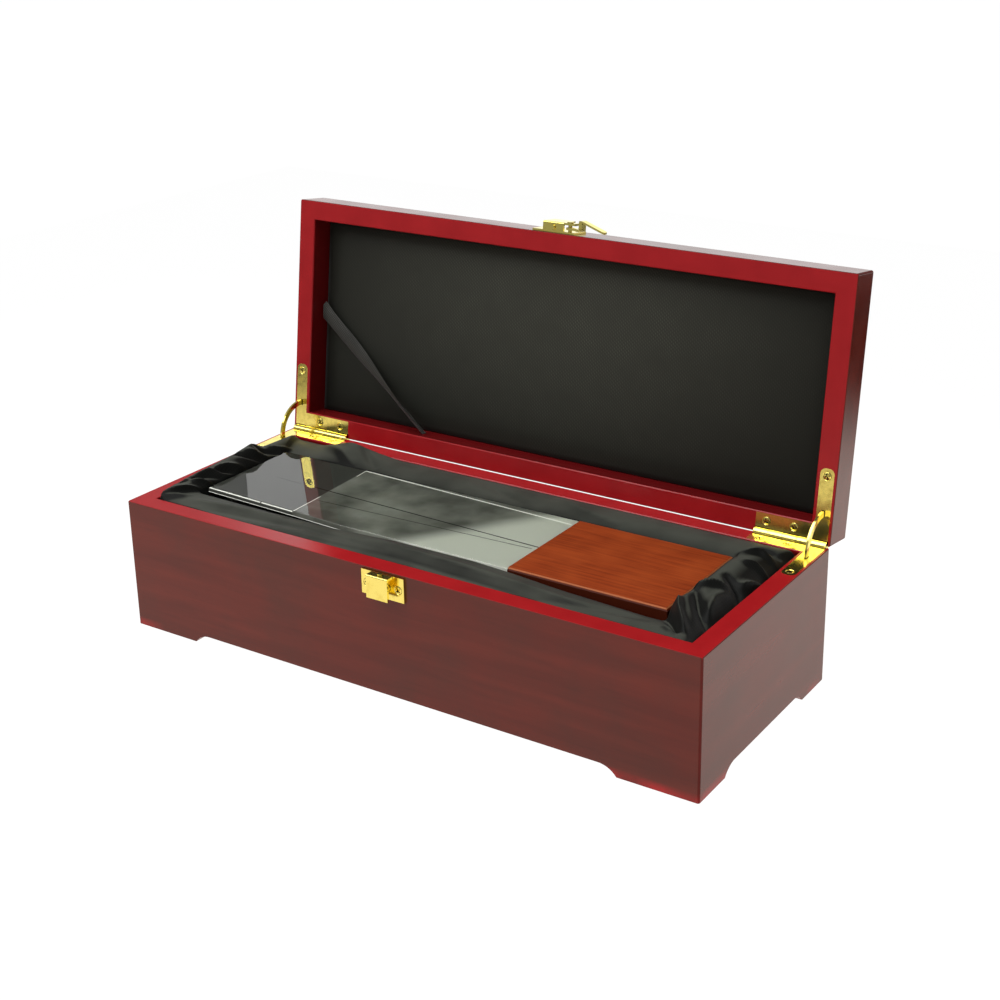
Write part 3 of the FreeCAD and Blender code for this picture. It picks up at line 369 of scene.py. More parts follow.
def painted_crown_light(tree, place, colour, crown):
    """Colour of a padded cloth with painted light: lighter round its crown, with painted shade at its edges."""
    middle, reach, edge = crown
    spot = add(tree, "ShaderNodeMapping", {
        "Vector": place, "Location": (-middle[0] / reach[0], 0, -middle[1] / reach[1]),
        "Scale": (1 / reach[0], 0, 1 / reach[1])})
    far = add(tree, "ShaderNodeVectorMath", {0: spot.outputs[0]}, operation="LENGTH")
    painted_light_share = add(tree, "ShaderNodeMapRange", {
        "Value": far.outputs["Value"], "From Min": 0.1, "From Max": 1.15, "To Min": 1.0, "To Max": 0.0},
        interpolation_type="SMOOTHSTEP")
    return add(tree, "ShaderNodeMix", {
        0: painted_light_share.outputs[0], 6: srgb(edge), 7: colour}, data_type="RGBA").outputs[2]


def woven_cloth(name, dark, light, thread, rough, sheen, level=None, crown=None):
    """Black cloth with a soft sheen: crossed threads, drawn coarser than the real 0.2 mm to show."""
    made, tree, place = new_material(name)
    # A wave of scale 1 has 20 radians to the metre.
    scale = 2 * math.pi / (20 * thread * MM)
    warp = add(tree, "ShaderNodeTexWave", {"Vector": place, "Scale": scale, "Distortion": 0.6},
               bands_direction="X")
    weft = add(tree, "ShaderNodeTexWave", {"Vector": place, "Scale": scale, "Distortion": 0.6},
               bands_direction="DIAGONAL")
    weave = add(tree, "ShaderNodeMath", {0: warp.outputs["Fac"], 1: weft.outputs["Fac"]},
                operation="MULTIPLY")
    wear = add(tree, "ShaderNodeTexNoise", {"Vector": place, "Scale": 1 / (14 * MM), "Detail": 4.0})
    tone = add(tree, "ShaderNodeMath", {0: weave.outputs[0], 1: wear.outputs[0]}, operation="MULTIPLY")
    colour = add(tree, "ShaderNodeMix", {
        0: tone.outputs[0], 6: srgb(dark), 7: srgb(light)}, data_type="RGBA").outputs[2]
    # Painted sheen where the satin lies level.
    if level is not None:
        colour = painted_satin_sheen(tree, place, colour, level)
    # Painted light over a pad's crown, with painted shade at its edges.
    if crown is not None:
        colour = painted_crown_light(tree, place, colour, crown)
    rubbed = add(tree, "ShaderNodeMapRange", {
        "Value": wear.outputs[0], "To Min": rough - 0.06, "To Max": rough + 0.06})
    bump = add(tree, "ShaderNodeBump", {
        "Height": weave.outputs[0], "Strength": 0.08, "Distance": 0.08 * MM})
    shader = add(tree, "ShaderNodeBsdfPrincipled", {
        "Base Color": colour, "Roughness": rubbed.outputs[0], "IOR": 1.2, "Sheen Weight": sheen,
        "Sheen Roughness": 0.4, "Normal": bump.outputs[0]})
    add(tree, "ShaderNodeOutputMaterial", {"Surface": shader.outputs[0]})
    return made


def clear_acrylic():
    """Cast acrylic, flame polished: clear and glossy, with faint wiping marks."""
    made, tree, place = new_material("clear_cast_acrylic")
    wiped = add(tree, "ShaderNodeTexNoise", {"Vector": place, "Scale": 1 / (25 * MM), "Detail": 3.0})
    rough = add(tree, "ShaderNodeMapRange", {"Value": wiped.outputs[0], "To Min": 0.0, "To Max": 0.03})
    shader = add(tree, "ShaderNodeBsdfPrincipled", {
        "Base Color": srgb("#F3F6F2"), "Roughness": rough.outputs[0], "IOR": 1.49,
        "Transmission Weight": 1.0})
    add(tree, "ShaderNodeOutputMaterial", {"Surface": shader.outputs[0]})
    return made


def frosted_acrylic():
    """Acrylic blasted with fine grit: clouded grey, with painted light making it paler past a slanting line beside
    the block.
    """
    made, tree, place = new_material("frosted_acrylic")
    axes = add(tree, "ShaderNodeSeparateXYZ", {0: place})
    offset = add(tree, "ShaderNodeMath", {0: axes.outputs[1], 1: MID_Y}, operation="SUBTRACT")
    # Painted light: paler past a slanting line beside the block.
    along = add(tree, "ShaderNodeMath", {0: axes.outputs[0], 1: PAINTED_LIGHT_NORMAL[0]}, operation="MULTIPLY")
    across = add(tree, "ShaderNodeMath", {0: offset.outputs[0], 1: PAINTED_LIGHT_NORMAL[1], 2: along.outputs[0]},
                 operation="MULTIPLY_ADD")
    painted_light_past_line = add(tree, "ShaderNodeMapRange", {
        "Value": across.outputs[0], "From Min": (PAINTED_LIGHT_START - PAINTED_LIGHT_BLUR) * MM,
        "From Max": (PAINTED_LIGHT_START + PAINTED_LIGHT_BLUR) * MM}, interpolation_type="SMOOTHSTEP")
    clouds = add(tree, "ShaderNodeTexNoise", {"Vector": place, "Scale": 1 / (28 * MM), "Detail": 3.0})
    cloud_share = add(tree, "ShaderNodeMapRange", {
        "Value": clouds.outputs[0], "From Min": 0.35, "From Max": 0.7})
    grey = add(tree, "ShaderNodeMix", {
        0: cloud_share.outputs[0], 6: srgb("#64665C"), 7: srgb("#A4A79A")}, data_type="RGBA")
    colour = add(tree, "ShaderNodeMix", {
        0: painted_light_past_line.outputs[0], 6: grey.outputs[2], 7: srgb("#EEF2E4")}, data_type="RGBA")
    lean = add(tree, "ShaderNodeMath", {0: offset.outputs[0], 1: -FROST_LEAN, 2: axes.outputs[0]},
               operation="MULTIPLY_ADD")
    thick = add(tree, "ShaderNodeMapRange", {
        "Value": lean.outputs[0], "From Min": (FROST_START - 0.4) * MM,
        "From Max": (FROST_START + 0.4) * MM})
    colour = add(tree, "ShaderNodeMix", {
        0: thick.outputs[0], 6: srgb("#494A43"), 7: colour.outputs[2]}, data_type="RGBA")
    grit = add(tree, "ShaderNodeTexNoise", {"Vector": place, "Scale": 1 / (0.5 * MM), "Detail": 2.0})
    bump = add(tree, "ShaderNodeBump", {
        "Height": grit.outputs[0], "Strength": 0.05, "Distance": 0.05 * MM})
    shader = add(tree, "ShaderNodeBsdfPrincipled", {
        "Base Color": colour.outputs[2], "Roughness": 0.7, "IOR": 1.49, "Normal": bump.outputs[0]})
    add(tree, "ShaderNodeOutputMaterial", {"Surface": shader.outputs[0]})
    return made


def ground_edge_painted_highlight():
    """Edge of a plate ground with coarse paper: white, and a painted highlight with a painted glow that stands in
    for light led through the plate.
    """
    made, tree, place = new_material("ground_acrylic_edge_painted_highlight")
    chips = add(tree, "ShaderNodeTexNoise", {"Vector": place, "Scale": 1 / (1.2 * MM), "Detail": 3.0})
    colour = add(tree, "ShaderNodeMix", {
        0: chips.outputs[0], 6: srgb("#D8DACF"), 7: srgb("#FFFFFA")}, data_type="RGBA")
    shader = add(tree, "ShaderNodeBsdfPrincipled", {
        "Base Color": colour.outputs[2], "Roughness": 0.8, "Emission Color": srgb("#F4F6EC"),
        "Emission Strength": 0.35})
    add(tree, "ShaderNodeOutputMaterial", {"Surface": shader.outputs[0]})
    return made


def scored_line():
    """Fine line scored in the plate and filled with dirt: dark, with broken edges."""
    made, tree, place = new_material("scored_line")
    breaks = add(tree, "ShaderNodeTexNoise", {"Vector": place, "Scale": 1 / (4 * MM), "Detail": 3.0})
    colour = add(tree, "ShaderNodeMix", {
        0: breaks.outputs[0], 6: srgb("#0A0B09"), 7: srgb("#20221D")}, data_type="RGBA")
    shader = add(tree, "ShaderNodeBsdfPrincipled", {"Base Color": colour.outputs[2], "Roughness": 0.9})
    add(tree, "ShaderNodeOutputMaterial", {"Surface": shader.outputs[0]})
    return made


def mahogany():
    """Mahogany under satin lacquer: warm red brown, with fine straight grain along the block."""
    made, tree, place = new_material("mahogany_satin_lacquer")
    height = add(tree, "ShaderNodeSeparateXYZ", {0: place}).outputs[2]
    grained = add(tree, "ShaderNodeMapping", {
        "Vector": place, "Scale": (1 / (45 * MM), 1 / (1.6 * MM), 1 / (1.6 * MM))})
    grain = add(tree, "ShaderNodeTexNoise", {
        "Vector": grained.outputs[0], "Scale": 1.0, "Detail": 6.0, "Roughness": 0.65, "Distortion": 0.3})
    share = add(tree, "ShaderNodeMapRange", {"Value": grain.outputs[0], "From Min": 0.34, "From Max": 0.68})
    fine = add(tree, "ShaderNodeMix", {
        0: share.outputs[0], 6: srgb("#772C10"), 7: srgb("#A4441C")}, data_type="RGBA")
    broad = add(tree, "ShaderNodeTexNoise", {"Vector": place, "Scale": 1 / (22 * MM), "Detail": 2.0})
    tint = add(tree, "ShaderNodeMapRange", {
        "Value": broad.outputs[0], "From Min": 0.4, "From Max": 0.75, "To Max": 0.5})
    tinted = add(tree, "ShaderNodeMix", {
        0: tint.outputs[0], 6: fine.outputs[2], 7: srgb("#AE4E22")}, data_type="RGBA")
    # Painted shade: the sides are darker than the top.
    top = add(tree, "ShaderNodeMapRange", {
        "Value": height, "From Min": BLOCK[1].z - 0.9 * MM, "From Max": BLOCK[1].z - 0.05 * MM})
    painted_side_shade = add(tree, "ShaderNodeMix", {
        0: top.outputs[0], 6: srgb("#4A1A0A"), 7: tinted.outputs[2]}, data_type="RGBA")
    # Painted highlight: a paler line along the upper edge of the bevel.
    wear_and_highlight = add(tree, "ShaderNodeMath", {0: height, 1: BLOCK[1].z - 0.3 * MM, 2: 0.25 * MM},
               operation="COMPARE")
    colour = add(tree, "ShaderNodeMix", {
        0: wear_and_highlight.outputs[0], 6: painted_side_shade.outputs[2], 7: srgb("#B4683E")}, data_type="RGBA")
    bump = add(tree, "ShaderNodeBump", {
        "Height": grain.outputs[0], "Strength": 0.15, "Distance": 0.08 * MM})
    shader = add(tree, "ShaderNodeBsdfPrincipled", {
        "Base Color": colour.outputs[2], "Roughness": 0.5, "Specular IOR Level": 0.12,
        "Normal": bump.outputs[0]})
    add(tree, "ShaderNodeOutputMaterial", {"Surface": shader.outputs[0]})
    return made


def black_foam():
    """Open-cell foam: dull black with small pores."""
    made, tree, place = new_material("black_foam")
    cells = add(tree, "ShaderNodeTexVoronoi", {"Vector": place, "Scale": 1 / (1.5 * MM)})
    colour = add(tree, "ShaderNodeMix", {
        0: cells.outputs["Distance"], 6: srgb("#0A0A0A"), 7: srgb("#252523")}, data_type="RGBA")
    bump = add(tree, "ShaderNodeBump", {
        "Height": cells.outputs["Distance"], "Strength": 0.6, "Distance": 0.5 * MM})
    shader = add(tree, "ShaderNodeBsdfPrincipled", {
        "Base Color": colour.outputs[2], "Roughness": 0.9, "Normal": bump.outputs[0]})
    add(tree, "ShaderNodeOutputMaterial", {"Surface": shader.outputs[0]})
    return made


def grey_card():
    """Pressed grey board: matt, flecked with fibres."""
    made, tree, place = new_material("grey_card")
    fibres = add(tree, "ShaderNodeTexNoise", {"Vector": place, "Scale": 1 / (0.8 * MM), "Detail": 5.0})
    colour = add(tree, "ShaderNodeMix", {
        0: fibres.outputs[0], 6: srgb("#6F6B64"), 7: srgb("#9A958C")}, data_type="RGBA")
    bump = add(tree, "ShaderNodeBump", {
        "Height": fibres.outputs[0], "Strength": 0.1, "Distance": 0.1 * MM})
    shader = add(tree, "ShaderNodeBsdfPrincipled", {
        "Base Color": colour.outputs[2], "Roughness": 0.85, "Normal": bump.outputs[0]})
    add(tree, "ShaderNodeOutputMaterial", {"Surface": shader.outputs[0]})
    return made


def shut_box(node):
    """Lowest and highest corners of one of the lid's nodes with the lid shut."""
    points = np.array([SHUT @ vertex.co for vertex in frame["nodes"][node].data.vertices])
    return points.min(axis=0), points.max(axis=0)


def grid_faces(rows, columns, closed=False):
    """Faces of a grid of points, joined round its columns where it is closed."""
    last = columns if closed else columns - 1
    return [(row * columns + col, row * columns + (col + 1) % columns,
             (row + 1) * columns + (col + 1) % columns, (row + 1) * columns + col)
            for row in range(rows - 1) for col in range(last)]


def mesh_object(name, points, faces, material):
    """Smooth mesh object, in the frame's metres."""
    mesh = bpy.data.meshes.new(name)
    mesh.from_pydata([tuple(point) for point in points], [], faces)
    mesh.shade_smooth()
    mesh.materials.append(material)
    made = bpy.data.objects.new(name, mesh)
    bpy.context.scene.collection.objects.link(made)
    return made


def new_piece(name, points, faces, material, body):
    """Smooth piece that rides on a body."""
    made = mesh_object(name, points, faces, material)
    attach(made, body)
    return made


def smooth_round(values, reach):
    """Values round a closed loop, averaged over reach columns to each side."""
    steps = range(-reach, reach + 1)
    weights = [1 + math.cos(math.pi * step / (reach + 1)) for step in steps]
    total = sum(weight * np.roll(values, step, axis=0) for weight, step in zip(weights, steps))
    return total / sum(weights)


def fold_rise(plan, line, height, reach):
    """Rise that a fold gives to points of the plan, highest along its line and none at the line's ends."""
    # A lower power fades later towards the line's ends, and a higher one makes a sharper crest.
    end_power, crest_power = 0.6, 1.5
    line = np.array(line, float)
    lengths = np.linalg.norm(np.diff(line, axis=0), axis=1)
    best, along, done = np.full(len(plan), np.inf), np.zeros(len(plan)), 0.0
    for start, end, length in zip(line[:-1], line[1:], lengths):
        share = np.clip((plan - start) @ (end - start) / length ** 2, 0, 1)
        far = np.linalg.norm(plan - start - share[:, None] * (end - start), axis=1)
        nearer = far < best
        best = np.where(nearer, far, best)
        along = np.where(nearer, done + share * length, along)
        done += length
    fade = np.clip(np.sin(math.pi * along / done), 0, 1) ** end_power
    return height * np.clip(1 - best / reach, 0, 1) ** crest_power * fade


def settle(points, faces, pinned, slack, pressure, steps):
    """Points of a cloth that has grown by its slack between pinned points and swollen under pressure."""
    # The solver works best on cloth about a metre across, so it gets the piece ten times larger.
    scale = 10
    mesh = bpy.data.meshes.new("settling")
    mesh.from_pydata([tuple(point) for point in points * scale], [], faces)
    cloth = bpy.data.objects.new("settling", mesh)
    bpy.context.scene.collection.objects.link(cloth)
    pins, loose = cloth.vertex_groups.new(name="pins"), cloth.vertex_groups.new(name="loose")
    pins.add([int(index) for index in np.flatnonzero(pinned)], 1.0, "REPLACE")
    most = float(slack.max())
    for index, share in enumerate(slack / most):
        loose.add([index], float(share), "REPLACE")
    settings = cloth.modifiers.new("cloth", "CLOTH").settings
    settings.quality = 6
    settings.mass = 0.2
    settings.tension_stiffness = settings.compression_stiffness = 12
    settings.shear_stiffness = 4
    settings.bending_stiffness = 0.3
    settings.vertex_group_mass = "pins"
    settings.vertex_group_shrink = "loose"
    settings.shrink_min, settings.shrink_max = 0.0, -most
    settings.use_pressure = True
    settings.uniform_pressure_force = pressure
    settings.effector_weights.gravity = 0
    scene = bpy.context.scene
    for step in range(1, steps + 1):
        scene.frame_set(step)
    shown = cloth.evaluated_get(bpy.context.evaluated_depsgraph_get())
    settled = np.array([vertex.co for vertex in shown.data.vertices]) / scale
    scene.frame_set(1)
    bpy.data.objects.remove(cloth)
    return settled


def strip_edges(spacing, gap):
    """Plan of the satin strip: its edge at the walls, its edge at the award, and its heights along both."""
    wide, deep = WALL_X / MM - gap, WALL_Y / MM - gap
    start, end, half = SLAB[0].x / MM - gap, BLOCK[1].x / MM + gap, (BLOCK[1].y - MID_Y) / MM + gap
    walls = [(-wide, -deep), (wide, -deep), (wide, deep), (-wide, deep)]
    awards = [(start, -half), (end, -half), (end, half), (start, half)]
    wall, award, heights = [], [], []
    for side, name in enumerate(("front", "right", "back", "left")):
        a, b = np.array(walls[side]), np.array(walls[(side + 1) % 4])
        c, d = np.array(awards[side]), np.array(awards[(side + 1) % 4])
        share = np.arange(0, 1, spacing / np.linalg.norm(b - a))[:, None]
        wall.append(a + (b - a) * share)
        award.append(c + (d - c) * share)
        places, *levels = np.array(SATIN[name]).T
        middle = (wall[-1] + award[-1])[:, 0 if name in ("front", "back") else 1] / 2
        heights.append(np.stack([np.interp(middle, places, level) for level in levels], axis=1))
    # The corners are rounded over a few columns to each side.
    wall, award = smooth_round(np.concatenate(wall), 3), smooth_round(np.concatenate(award), 2)
    return wall, award, smooth_round(np.concatenate(heights), 4)


def nest_satin(material):
    """Black satin gathered round the award, tucked down at the walls and at the award's sides."""
    # Distance between columns in millimetres, rows from the walls to the award, the strip's gap to both, and
    # the room that its folds keep to the walls.
    spacing, rows, gap, skin = 1.2, 28, 0.4, 0.2
    # How far each edge is tucked down, and the share of the width that turns down with it.
    tuck_wall, tuck_award = 8.0, 4.0
    turn_wall, turn_award = 0.05, 0.1
    # Pressure under the settling cloth, the steps it settles for, and the rows held at each edge.
    pressure, steps, pinned_rows = 0.03, 18, 2
    wall, award, heights = strip_edges(spacing, gap)
    at_wall, at_award, bulge = heights.T
    columns = len(wall)
    points, edge, folds = [], [], []
    for row in range(rows):
        u = 0.5 - 0.5 * math.cos(math.pi * row / (rows - 1))
        plan = wall + (award - wall) * u
        rise = at_wall + (at_award - at_wall) * u + 4 * bulge * u * (1 - u)
        rise = rise - tuck_wall * max(0, 1 - u / turn_wall) ** 2
        rise = rise - tuck_award * max(0, 1 - (1 - u) / turn_award) ** 2
        inside = min(1, u / turn_award, (1 - u) / turn_award)
        points.append(np.column_stack([plan, rise]))
        folds.append(inside * sum(fold_rise(plan, *fold) for fold in FOLDS))
        edge.append(np.full(columns, row < pinned_rows or row >= rows - pinned_rows))
    points, edge, folds = np.concatenate(points), np.concatenate(edge), np.concatenate(folds)
    faces = grid_faces(rows, columns, closed=True)
    points = points * MM + np.array([0, MID_Y, RIM])
    slack = np.interp(points[:, 0] / MM, SATIN_SLACK_X, SATIN_SLACK)
    settled = settle(points, faces, edge, slack, pressure, steps)
    points = points + np.clip(settled - points, -SATIN_DRIFT * MM, SATIN_DRIFT * MM)
    points[:, 2] += folds * MM
    across, back = WALL_X - skin * MM, WALL_Y - skin * MM
    points[:, 0] = np.clip(points[:, 0], -across, across)
    points[:, 1] = np.clip(points[:, 1], MID_Y - back, MID_Y + back)
    points[:, 2] = np.clip(points[:, 2], None, RIM + SATIN_TOP * MM)
    made = new_piece("nest_satin", points, faces, material, "base")
    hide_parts("satin_front", "satin_back", "satin_left", "satin_right")


def nest_bed(material):
    """Satin laid over the foam and down into the block's pocket, with soft creases under the clear slab."""
    # In millimetres: distance between points, margin at the walls, lift off the foam and height of a crease,
    # then the gap under the block and how far outside the block its pocket starts.
    spacing, margin, lift, crease_rise = 2.0, 0.3, 0.5, 0.1
    pocket_gap, pocket_edge = 0.1, 0.5
    # Creases as waves of the plan: the turn of each in radians, and its length in millimetres.
    waves = ((0.5, 34), (1.1, 23), (2.2, 41), (2.7, 19))
    low, high = (np.array(corner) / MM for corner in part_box("satin_bed"))
    xs = np.arange(low[0] + margin, high[0], spacing)
    ys = np.arange(low[1] + margin, high[1], spacing)
    x, y = (grid.ravel() for grid in np.meshgrid(xs, ys))
    crease = sum(np.sin((x * math.cos(turn) + y * math.sin(turn)) / length * 2 * math.pi + turn * 9)
                 for turn, length in waves)
    level = low[2] + lift + crease_rise * crease
    inside = np.minimum.reduce([x - BLOCK[0].x / MM, BLOCK[1].x / MM - x,
                                y - BLOCK[0].y / MM, BLOCK[1].y / MM - y])
    level = np.where(inside > -pocket_edge, BLOCK[0].z / MM - pocket_gap, level)
    points = np.column_stack([x, y, level]) * MM
    made = new_piece("nest_bed", points, grid_faces(len(ys), len(xs)), material, "base")
    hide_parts("satin_bed")


def lid_lining(material):
    """Lining of the lid: cloth drawn over wadding on a card, crowned and drawn in at its edges."""
    # Thickness at the edges and of the crown in millimetres, and how far the settling cloth may move.
    spacing, edge, crown, swelling = 3.0, 0.8, 3.0, 0.8
    # The crown is flatter in the middle for a higher power; its edge is rounded to the least share of it.
    flat_x, flat_y, round_reach, round_least = 8, 4, 2.0, 0.4
    slack, pressure, steps = 0.02, 3.0, 20
    low, high = (corner / MM for corner in shut_box("lid_pad"))
    xs = np.linspace(low[0], high[0], round((high[0] - low[0]) / spacing))
    ys = np.linspace(low[1], high[1], round((high[1] - low[1]) / spacing))
    x, y = (grid.ravel() for grid in np.meshgrid(xs, ys))
    across = np.minimum(x - low[0], high[0] - x)
    down = np.minimum(y - low[1], high[1] - y)
    half_x, half_y = (high[0] - low[0]) / 2, (high[1] - low[1]) / 2
    swell = (1 - np.abs(1 - across / half_x) ** flat_x) * (1 - np.abs(1 - down / half_y) ** flat_y)
    rounded = round_least + (1 - round_least) * np.minimum(1, np.minimum(across, down) / round_reach)
    front = np.column_stack([x, y, high[2] - edge * rounded - crown * swell])
    back = np.column_stack([x, y, np.full(len(x), high[2])])
    rows, columns = len(ys), len(xs)
    count = rows * columns
    lining = [face[::-1] for face in grid_faces(rows, columns)]
    backing = [tuple(index + count for index in face) for face in grid_faces(rows, columns)]
    rim = [*range(columns), *range(2 * columns - 1, count, columns),
           *range(count - 2, count - columns - 1, -1), *range(count - 2 * columns, 0, -columns)]
    sides = [(a, b, b + count, a + count) for a, b in zip(rim, rim[1:] + rim[:1])]
    faces = lining + backing + sides
    points = np.concatenate([front, back]) * MM
    pinned = np.concatenate([np.minimum(across, down) < 0.5 * spacing, np.ones(count, bool)])
    settled = settle(points, faces, pinned, np.full(2 * count, slack), pressure, steps)
    points = points + np.clip(settled - points, -swelling * MM, swelling * MM)
    points[:, 2] = np.maximum(points[:, 2], low[2] * MM)
    points = np.array([OPENED @ Vector(point) for point in points])
    made = new_piece("lid_lining", points, faces, material, "lid")
    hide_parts("lid_pad")


def ease(value, start, end):
    """Smooth step from 0 at start to 1 at end."""
    share = min(1.0, max(0.0, (value - start) / (end - start)))
    return share * share * (3 - 2 * share)


def lid_corner_ribbon(material):
    """Satin ribbon across the corner of the lid: laid flat at first, then turned slowly on its edge."""
    # Width in millimetres, and the arc that it curls over in radians.
    width, curl, steps, strands = 10.0, 1.2, 80, 9
    # Tilts in radians that it takes at the wall and towards the back rail.
    wall_tilt, back_tilt = 0.15, 0.95
    # Room behind it, and how far its edge keeps off the lid's wall: at least, and more as it stands out.
    clear, wall_gap, slant = 0.15, 0.6, 0.65
    low, high = (corner / MM for corner in shut_box("lid_ribbon"))
    edge = shut_box("lid_pad")[0][0] / MM + wall_gap
    start = np.array([low[0], MID_Y / MM + RIBBON_WALL_Y])
    end = np.array([RIBBON_BACK_X, high[1]])
    length = float(np.linalg.norm(end - start))
    along = (end - start) / length
    across = np.array([-along[1], along[0]])
    angles = np.linspace(-curl / 2, curl / 2, strands)
    side, rise = width / curl * np.sin(angles), width / curl * (np.cos(angles) - 1)
    points = []
    for step in range(steps + 1):
        share = step / steps
        tilt = -wall_tilt * ease(share, 0.0, 0.1) - back_tilt * ease(share, 0.25, 0.9)
        over = side * math.cos(tilt) - rise * math.sin(tilt)
        out = side * math.sin(tilt) + rise * math.cos(tilt)
        out = out - out.min() + clear
        middle = start + (end - start) * share
        for sideways, outward in zip(over, out):
            spot = middle + across * sideways
            x, y = max(spot[0], edge + slant * outward), min(spot[1], high[1])
            points.append((x, y, high[2] - outward))
    points = np.array([OPENED @ Vector(point) for point in np.array(points) * MM])
    made = new_piece("lid_corner_ribbon", points, grid_faces(steps + 1, strands), material, "lid")
    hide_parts("lid_ribbon")


def level_plate(outline, low, high):
    """Points and faces of a thin level plate; its outline is in millimetres from the case's middle."""
    count = len(outline)
    points = [(x * MM, y * MM + MID_Y, z * MM) for z in (low, high) for x, y in outline]
    faces = [tuple(reversed(range(count))), tuple(range(count, 2 * count))]
    faces += [(i, (i + 1) % count, (i + 1) % count + count, i + count) for i in range(count)]
    return points, faces


def plate_mark(name, points, faces, material):
    """Flat-sided piece on the award's plate."""
    made = new_piece(name, points, faces, material, "base")
    made.data.shade_flat()


def plate_lines(name, lines, thick, material):
    """Fine straight lines a little below the top of the award's plate, seen through it."""
    points, faces = [], []
    for start, end, width in lines:
        start, end = np.array(start), np.array(end)
        along = (end - start) / np.linalg.norm(end - start)
        side = np.array([-along[1], along[0]]) * width / 2
        outline = [start - side, end - side, end + side, start + side]
        strip, strip_faces = level_plate(outline, FROST_LEVEL, FROST_LEVEL + thick)
        faces += [tuple(index + len(points) for index in face) for face in strip_faces]
        points += strip
    plate_mark(name, points, faces, material)


def award_plate_marks():
    """What shows of the award's clear plate: frosted face with painted light, ground edges with painted
    highlights, scored lines and sawn front.
    """
    # In millimetres: half the frost's thickness, and the thickness of the ground edges and scored lines.
    half_frost, edge_thick, score_thick = 0.05, 0.3, 0.2
    # The white foot's height, how far the sawn front stands proud of the plate and reaches into it, and how
    # far its tip and the rest stay below the plate's top.
    foot_tall, proud, sunk, tip_drop, front_drop = 0.35, 0.06, 0.4, 0.75, 0.05
    frost, white = frosted_acrylic(), ground_edge_painted_highlight()
    points, faces = level_plate(FROST, FROST_LEVEL - half_frost, FROST_LEVEL + half_frost)
    plate_mark("award_frosted_face", points, faces, frost)
    plate_lines("award_ground_edge_highlights", GROUND_EDGE_HIGHLIGHTS, edge_thick, white)
    plate_lines("award_scored_lines", SCORES, score_thick, scored_line())
    # The sawn front is dull, with a white line at its foot that has the ground edges' painted highlight and glow.
    foot = PLATE_LOW + foot_tall
    for name, line, low, high, finish in (
            ("award_sawn_tip", PLATE_FRONT[:2], foot, PLATE_TOP - tip_drop, frost),
            ("award_sawn_front", PLATE_FRONT[1:], foot, PLATE_TOP - front_drop, frost),
            ("award_sawn_foot", PLATE_FRONT, PLATE_LOW, foot, white)):
        outer = [(x, y - proud) for x, y in line]
        inner = [(x, y + sunk) for x, y in reversed(line)]
        points, faces = level_plate(outer + inner, low, high)
        plate_mark(name, points, faces, finish)


def screw_head():
    """Points and faces of a low domed screw head with a cross recess, in millimetres, face up at zero."""
    reach, dome, sides, thick = 2.0, 0.15, 32, 1.0
    # Half the width and half the span of the cross, its depth, and how far its cutter stands above it.
    wide, span, depth, above = 0.36, 1.35, 0.7, 1.0
    profile = [(0.7, dome * 0.9), (1.3, dome * 0.6), (1.75, dome * 0.2), (reach, -0.1), (reach, -thick)]
    angles = [2 * math.pi * side / sides for side in range(sides)]
    points = [(r * math.cos(angle), r * math.sin(angle), z) for r, z in profile for angle in angles]
    rings = len(profile)
    faces = [face[::-1] for face in grid_faces(rings, sides, closed=True)]
    faces += [tuple(range(sides)), tuple(reversed(range((rings - 1) * sides, rings * sides)))]
    mesh = bpy.data.meshes.new("screw_head")
    mesh.from_pydata(points, [], faces)
    head = bpy.data.objects.new("screw_head", mesh)
    cross = [(span, -wide), (span, wide), (wide, wide), (wide, span), (-wide, span), (-wide, wide),
             (-span, wide), (-span, -wide), (-wide, -wide), (-wide, -span), (wide, -span), (wide, -wide)]
    count = len(cross)
    corners = [(x, y, z) for z in (-depth, above) for x, y in cross]
    walls = [(i, (i + 1) % count, (i + 1) % count + count, i + count) for i in range(count)]
    cut_mesh = bpy.data.meshes.new("cross_cut")
    ends = [tuple(reversed(range(count))), tuple(range(count, 2 * count))]
    cut_mesh.from_pydata(corners, [], [*ends, *walls])
    cut = bpy.data.objects.new("cross_cut", cut_mesh)
    for made in (head, cut):
        bpy.context.scene.collection.objects.link(made)
    recess = head.modifiers.new("recess", "BOOLEAN")
    recess.object, recess.operation, recess.solver = cut, "DIFFERENCE", "EXACT"
    shown = head.evaluated_get(bpy.context.evaluated_depsgraph_get())
    points = np.array([vertex.co for vertex in shown.data.vertices])
    faces = [tuple(face.vertices) for face in shown.data.polygons]
    for made in (head, cut):
        bpy.data.objects.remove(made)
    return points, faces


def screw_heads(node, body, turn, head, material):
    """Round cross-recessed heads in place of a node's many-sided screws. The turn makes them face up."""
    top_slice = 0.02
    spots = np.array([turn @ vertex.co for vertex in frame["nodes"][node].data.vertices]) / MM
    tops = spots[spots[:, 2] > spots[:, 2].max() - top_slice]
    groups = []
    for spot in tops:
        near = next((group for group in groups if np.linalg.norm(group[0] - spot) < SCREW_APART), None)
        if near is None:
            groups.append([spot])
        else:
            near.append(spot)
    back = turn.inverted()
    points, faces = [], []
    for index, group in enumerate(groups):
        middle = (np.min(group, axis=0) + np.max(group, axis=0)) / 2
        angle = SCREW_TWIST * index
        spun = head[0] @ np.array(Matrix.Rotation(angle, 3, "Z")).T
        faces += [tuple(corner + len(points) for corner in face) for face in head[1]]
        points += [back @ Vector(point * MM) for point in spun + middle]
    made = new_piece(node.replace("_screws", "_screw_heads"), points, faces, material, body)
    made.data.set_sharp_from_angle(angle=math.radians(SCREW_SHARP))
    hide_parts(node)


